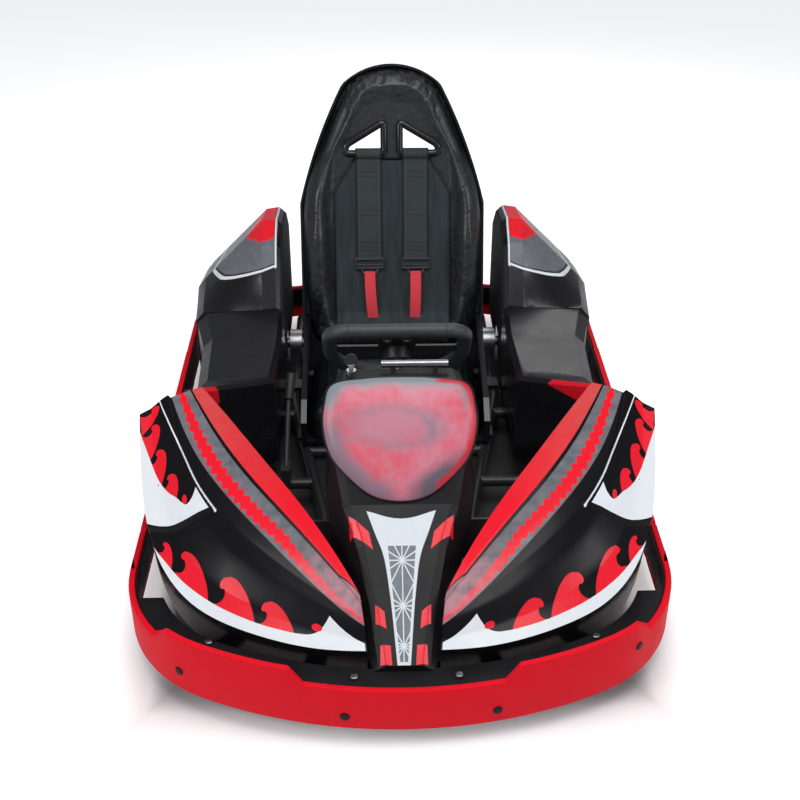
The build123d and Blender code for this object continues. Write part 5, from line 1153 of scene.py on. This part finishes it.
belt_web = Finish("belt_webbing")
belt_x, belt_run, _ = belt_web.axes(belt_web.node("UVMap"))
ribs = (belt_run * 2600.0).sine() * (belt_x * 1500.0).sine()
selvedge = abs(belt_x).above(BELT_HALF * 0.82, 0.003)
stitch = (0.0011 - abs(abs(belt_x) - BELT_HALF * 0.8)).above(0, 0.0006)
stitch = stitch * belt_run.fold(0.003).above(0.001, 0.0005)
# The folds are dented in the bump, and the darker colour along them is painted shade.
crease_and_shade = sum((0.0014 - abs(belt_run - at + belt_x * 0.04)).above(0, 0.0012) for at in PRESSED)
tone_now = belt_web.mix(ribs * 0.3 + belt_web.noise(20.0, 6.0), (33, 41, 42), (57, 66, 67))
for share, tint in ((selvedge, (13, 17, 18)), (crease_and_shade * 0.6, (16, 20, 21)), (stitch, (74, 82, 84))):
    tone_now = belt_web.mix(share, tone_now, tint)
belt_web.set(Base_Color=tone_now, Roughness=belt_web.noise(40.0, 5.0) * 0.2 + 0.6)
belt_web.bump(ribs + belt_web.noise(30.0, 4.0) * 3.0 - crease_and_shade * 1.5, 0.0007, 0.6)
for side, name in SIDES:
    x0, heights = side * BELT_X, np.linspace(BELT_LOW, BELT_TOP, BELT_STEPS)
    rest = [max(pad_front(x0 + x, up) for x in BELT_FEEL) + BELT_LIFT for up in heights]
    rest = np.pad(rest, BELT_EASE // 2, mode="edge")
    rest = np.convolve(rest, np.ones(BELT_EASE) / BELT_EASE, mode="valid")
    path = [(x0, up, out) for up, out in (*zip(heights, rest), *BELT_OVER)]
    nodes = ["shoulder_belts"] if side > 0 else ()
    strap(f"shoulder_belt_{name}", path, BELT_HALF, BELT_SHEET, belt_web, nodes)
print("straps", len(SIDES))

# %% [markdown]
# Slide adjusters end the straps. Each is a block whose face is inset and pushed in, with rounded edges and
# two bars across; a wire loop under it carries the red pull tab. Its webbing is a plain weave, so two crossed
# waves make its bump.

# %% Adjusters and tabs
ADJUSTER, ADJUSTER_LOW, ADJUSTER_OUT = (0.084, 0.034, 0.012), 0.240, 0.0465
FRAME_WIDE, FRAME_WALL, FRAME_DEEP, FRAME_EDGE = 0.005, 0.0005, 0.005, 0.0012
BAR_LIFTS, BAR_HALF, BAR_OUT, BAR_R = (0.012, -0.004), 0.037, 0.0045, 0.002
WIRE, WIRE_OUT, WIRE_R = ((-0.026, 0.004), (-0.019, -0.010), (0.019, -0.010), (0.026, 0.004)), 0.002, 0.0016
TAB_LONG, TAB_HALF, TAB_SHEET, TAB_DROP, TAB_STEPS = 0.156, 0.0155, 0.0032, 0.006, 22
TAB_OUT, TAB_BOW, TAB_FALL = 0.049, 0.012, 0.004
# Tab columns: side, sway at the lower end, name
TABS = ((1, -0.004, "left"), (-1, 0.011, "right"))
buckle = worn("buckle_plastic", (90.0, 6.0), ((22, 26, 28), (50, 56, 59)), 1.0, (0.28, 0.3), Coat_Weight=0.2)
tab = Finish("red_tab", Roughness=0.65)
tab_x, _, tab_z = tab.axes(tab.place())
tab_weave = (tab_x * 3600.0).sine() * (tab_z * 2600.0).sine()
tab.set(Base_Color=tab.mix(tab_weave * 0.5 + 0.5, (224, 42, 58), (244, 76, 90)))
tab.bump(tab_weave, 0.0006, 0.6)
for side, sway, name in TABS:
    bpy.ops.object.select_all(action="DESELECT")
    bpy.ops.mesh.primitive_cube_add(size=1)
    block = bpy.context.object
    block.name = f"adjuster_{name}"
    move_points(block, points_of(block) * ADJUSTER)
    bpy.ops.object.mode_set(mode="EDIT")
    bpy.ops.mesh.select_mode(type="FACE")
    bpy.ops.mesh.select_all(action="DESELECT")
    bpy.ops.object.mode_set(mode="OBJECT")
    for face in block.data.polygons:
        face.select = face.normal.z > 0.9
    bpy.ops.object.mode_set(mode="EDIT")
    bpy.ops.mesh.inset(thickness=FRAME_WIDE, depth=0)
    bpy.ops.mesh.inset(thickness=FRAME_WALL, depth=-FRAME_DEEP)
    bpy.ops.mesh.select_all(action="SELECT")
    bpy.ops.mesh.bevel(offset=FRAME_EDGE, segments=2, affect="EDGES")
    bpy.ops.object.mode_set(mode="OBJECT")
    x0, up0 = side * BELT_X, ADJUSTER_LOW + ADJUSTER[1] / 2
    move_points(block, [seat_point(x0 + x, up0 + y, ADJUSTER_OUT + z) for x, y, z in points_of(block)])
    place(block, buckle, nodes=["belt_adjusters"] if side > 0 else (), angle=30)
    for lift in BAR_LIFTS:
        ends = [seat_point(x0 + x, up0 + lift, ADJUSTER_OUT + BAR_OUT) for x in (-BAR_HALF, BAR_HALF)]
        tube(f"adjuster_bar_{name}_{lift > 0}", ends, BAR_R, buckle)
    loop = [seat_point(x0 + x, ADJUSTER_LOW + y, ADJUSTER_OUT + WIRE_OUT) for x, y in WIRE]
    tube(f"tab_wire_{name}", loop, WIRE_R, steel)
    path = []
    for t in np.linspace(0, 1, TAB_STEPS):
        out = TAB_OUT + TAB_BOW * sin(pi * t) - TAB_FALL * t
        path.append((x0 + sway * t * t, ADJUSTER_LOW - TAB_DROP - TAB_LONG * t, out))
    strap(f"pull_tab_{name}", path, TAB_HALF, TAB_SHEET, tab, ["belt_tabs"] if side > 0 else ())
print("adjusters and tabs", len(TABS))

# %% [markdown]
# The steering grip is wrapped in hide and sewn at both ends of the flat bar. A thin ring sunk into the grip
# stands for each sewn joint.

# %% Steering grip
GRIP_R, GRIP_FLAT, COLUMN_ANGLE, WHEEL_AT = 0.018, 0.130, radians(40), np.array((0, -0.116, 0.5))
GRIP_SEAMS, GRIP_SEAM_R, SEAM_POINTS = (0.1205, 0.1165), 0.0009, 40
wheel_up = np.array((0, -sin(COLUMN_ANGLE), cos(COLUMN_ANGLE)))
wheel_out = np.array((0, cos(COLUMN_ANGLE), sin(COLUMN_ANGLE)))
grip_hide = worn("grip_hide", (26.0, 6.0), ((34, 40, 43), (60, 67, 70)), 1.0, (0.38, 0.2), Coat_Weight=0.15,
                 Coat_Roughness=0.3)
grip_hide.bump(grip_hide.pores(500.0), 0.0012, 0.5)
dress(grip_hide, "steering_rim")
for side, name in SIDES:
    for k, x in enumerate(GRIP_SEAMS):
        ring = []
        for turn in np.arange(SEAM_POINTS) / SEAM_POINTS * 2 * pi:
            flat = wheel_up * (GRIP_FLAT + GRIP_R * cos(turn)) + wheel_out * GRIP_R * sin(turn)
            ring.append(WHEEL_AT + flat + np.array((side * x, 0, 0)))
        tube(f"grip_seam_{name}_{k}", ring, GRIP_SEAM_R, grip_hide, "steering_wheel", closed=True)
print("grip seams", len(SIDES) * len(GRIP_SEAMS))

# %% [markdown]
# Rear covers and side pods carry the livery on: red over grey with a white pinstripe near the seat. It
# depends only on height and on the distance from the inner edge, so it is a few comparisons in the shader.

# %% Cover and pod livery
COVER_INNER, COVER_ASH, SKIN_PALE = 0.324, ((92, 95, 103), (126, 128, 135)), (30, 30, 34)
cover_skin = Finish("cover_livery", Coat_Roughness=0.1, Specular_IOR_Level=0.3)
cx, _, cz = cover_skin.axes(cover_skin.place())
fleck = cover_skin.noise(40.0, 5.0) - 0.5
inset = abs(cx) - COVER_INNER + fleck * 0.002
low_edge = 0.462 - inset * 0.35
painted = inset.above(0.024, 0.002) * (cz - low_edge).above(0, 0.003)
split = (cz + fleck * 0.012 + inset * 0.28).above(0.518, 0.004)
skin_now = cover_skin.mix(split, cover_skin.mix(fleck + 0.5, *COVER_ASH), LIVERY_RED)
skin_now = cover_skin.mix(painted, cover_skin.mix(fleck + 0.4, GLOSS_BLACK, SKIN_PALE), skin_now)
pin_edge = (0.0028 - abs(inset - 0.0195)).above(0, 0.0008) * (cz - low_edge).above(-0.012, 0.003)
pin_low = (0.0028 - abs(cz - low_edge + 0.006)).above(0, 0.0008) * inset.above(0.018, 0.002)
skin_now = cover_skin.mix(pin_edge.most(pin_low), skin_now, LIVERY_WHITE)
wall_side = (0.006 - inset).above(0, 0.004)
cover_skin.set(Base_Color=skin_now, Roughness=cover_skin.noise(18.0, 6.0) * 0.18 + 0.18 + wall_side * 0.5)
cover_skin.set(Coat_Weight=(1.0 - wall_side) * 0.2)
cover_skin.bump(cover_skin.noise(5.0, 2.0), 0.004, 0.2)
dress(cover_skin, "rear_cover_left", "rear_cover_right")
pod_skin = Finish("pod_livery", Coat_Weight=0.15, Coat_Roughness=0.12, Specular_IOR_Level=0.3)
pod_x, pod_y, pod_z = pod_skin.axes(pod_skin.place())
pod_fleck = pod_skin.noise(40.0, 5.0) - 0.5
nose_red = (pod_x.above(0, 0.01) * 0.07 - 0.155 - pod_y + pod_fleck * 0.01).above(0, 0.003)
nose_red = nose_red * (pod_z - 0.375).above(0, 0.004)
pod_now = pod_skin.mix(nose_red, pod_skin.mix(pod_fleck + 0.4, GLOSS_BLACK, SKIN_PALE), LIVERY_RED)
pod_skin.set(Base_Color=pod_now, Roughness=pod_skin.noise(18.0, 6.0) * 0.18 + 0.2)
pod_skin.bump(pod_skin.noise(5.0, 2.0), 0.004, 0.2)
dress(pod_skin, "side_pod_left", "side_pod_right")
print("cover livery", cover_skin.material.name, pod_skin.material.name)

# %% [markdown]
# The key has a black moulded head on a bright lock, so its finish changes with height.

# %% Key
KEY_HEAD_FROM, KEY_BRIGHT, KEY_BLACK = 0.612, ((200, 202, 206), (150, 152, 156)), (24, 25, 28)
key_skin = Finish("key_and_lock")
_, _, key_z = key_skin.axes(key_skin.place())
black_head = key_z.above(KEY_HEAD_FROM, 0.001)
nick = key_skin.noise(120.0, 5.0)
key_skin.set(Base_Color=key_skin.mix(black_head, key_skin.mix(nick, *KEY_BRIGHT), KEY_BLACK))
key_skin.set(Metallic=1.0 - black_head, Roughness=nick * 0.25 + 0.2 + black_head * 0.15)
dress(key_skin, "key_switch")
print("key", key_skin.material.name)
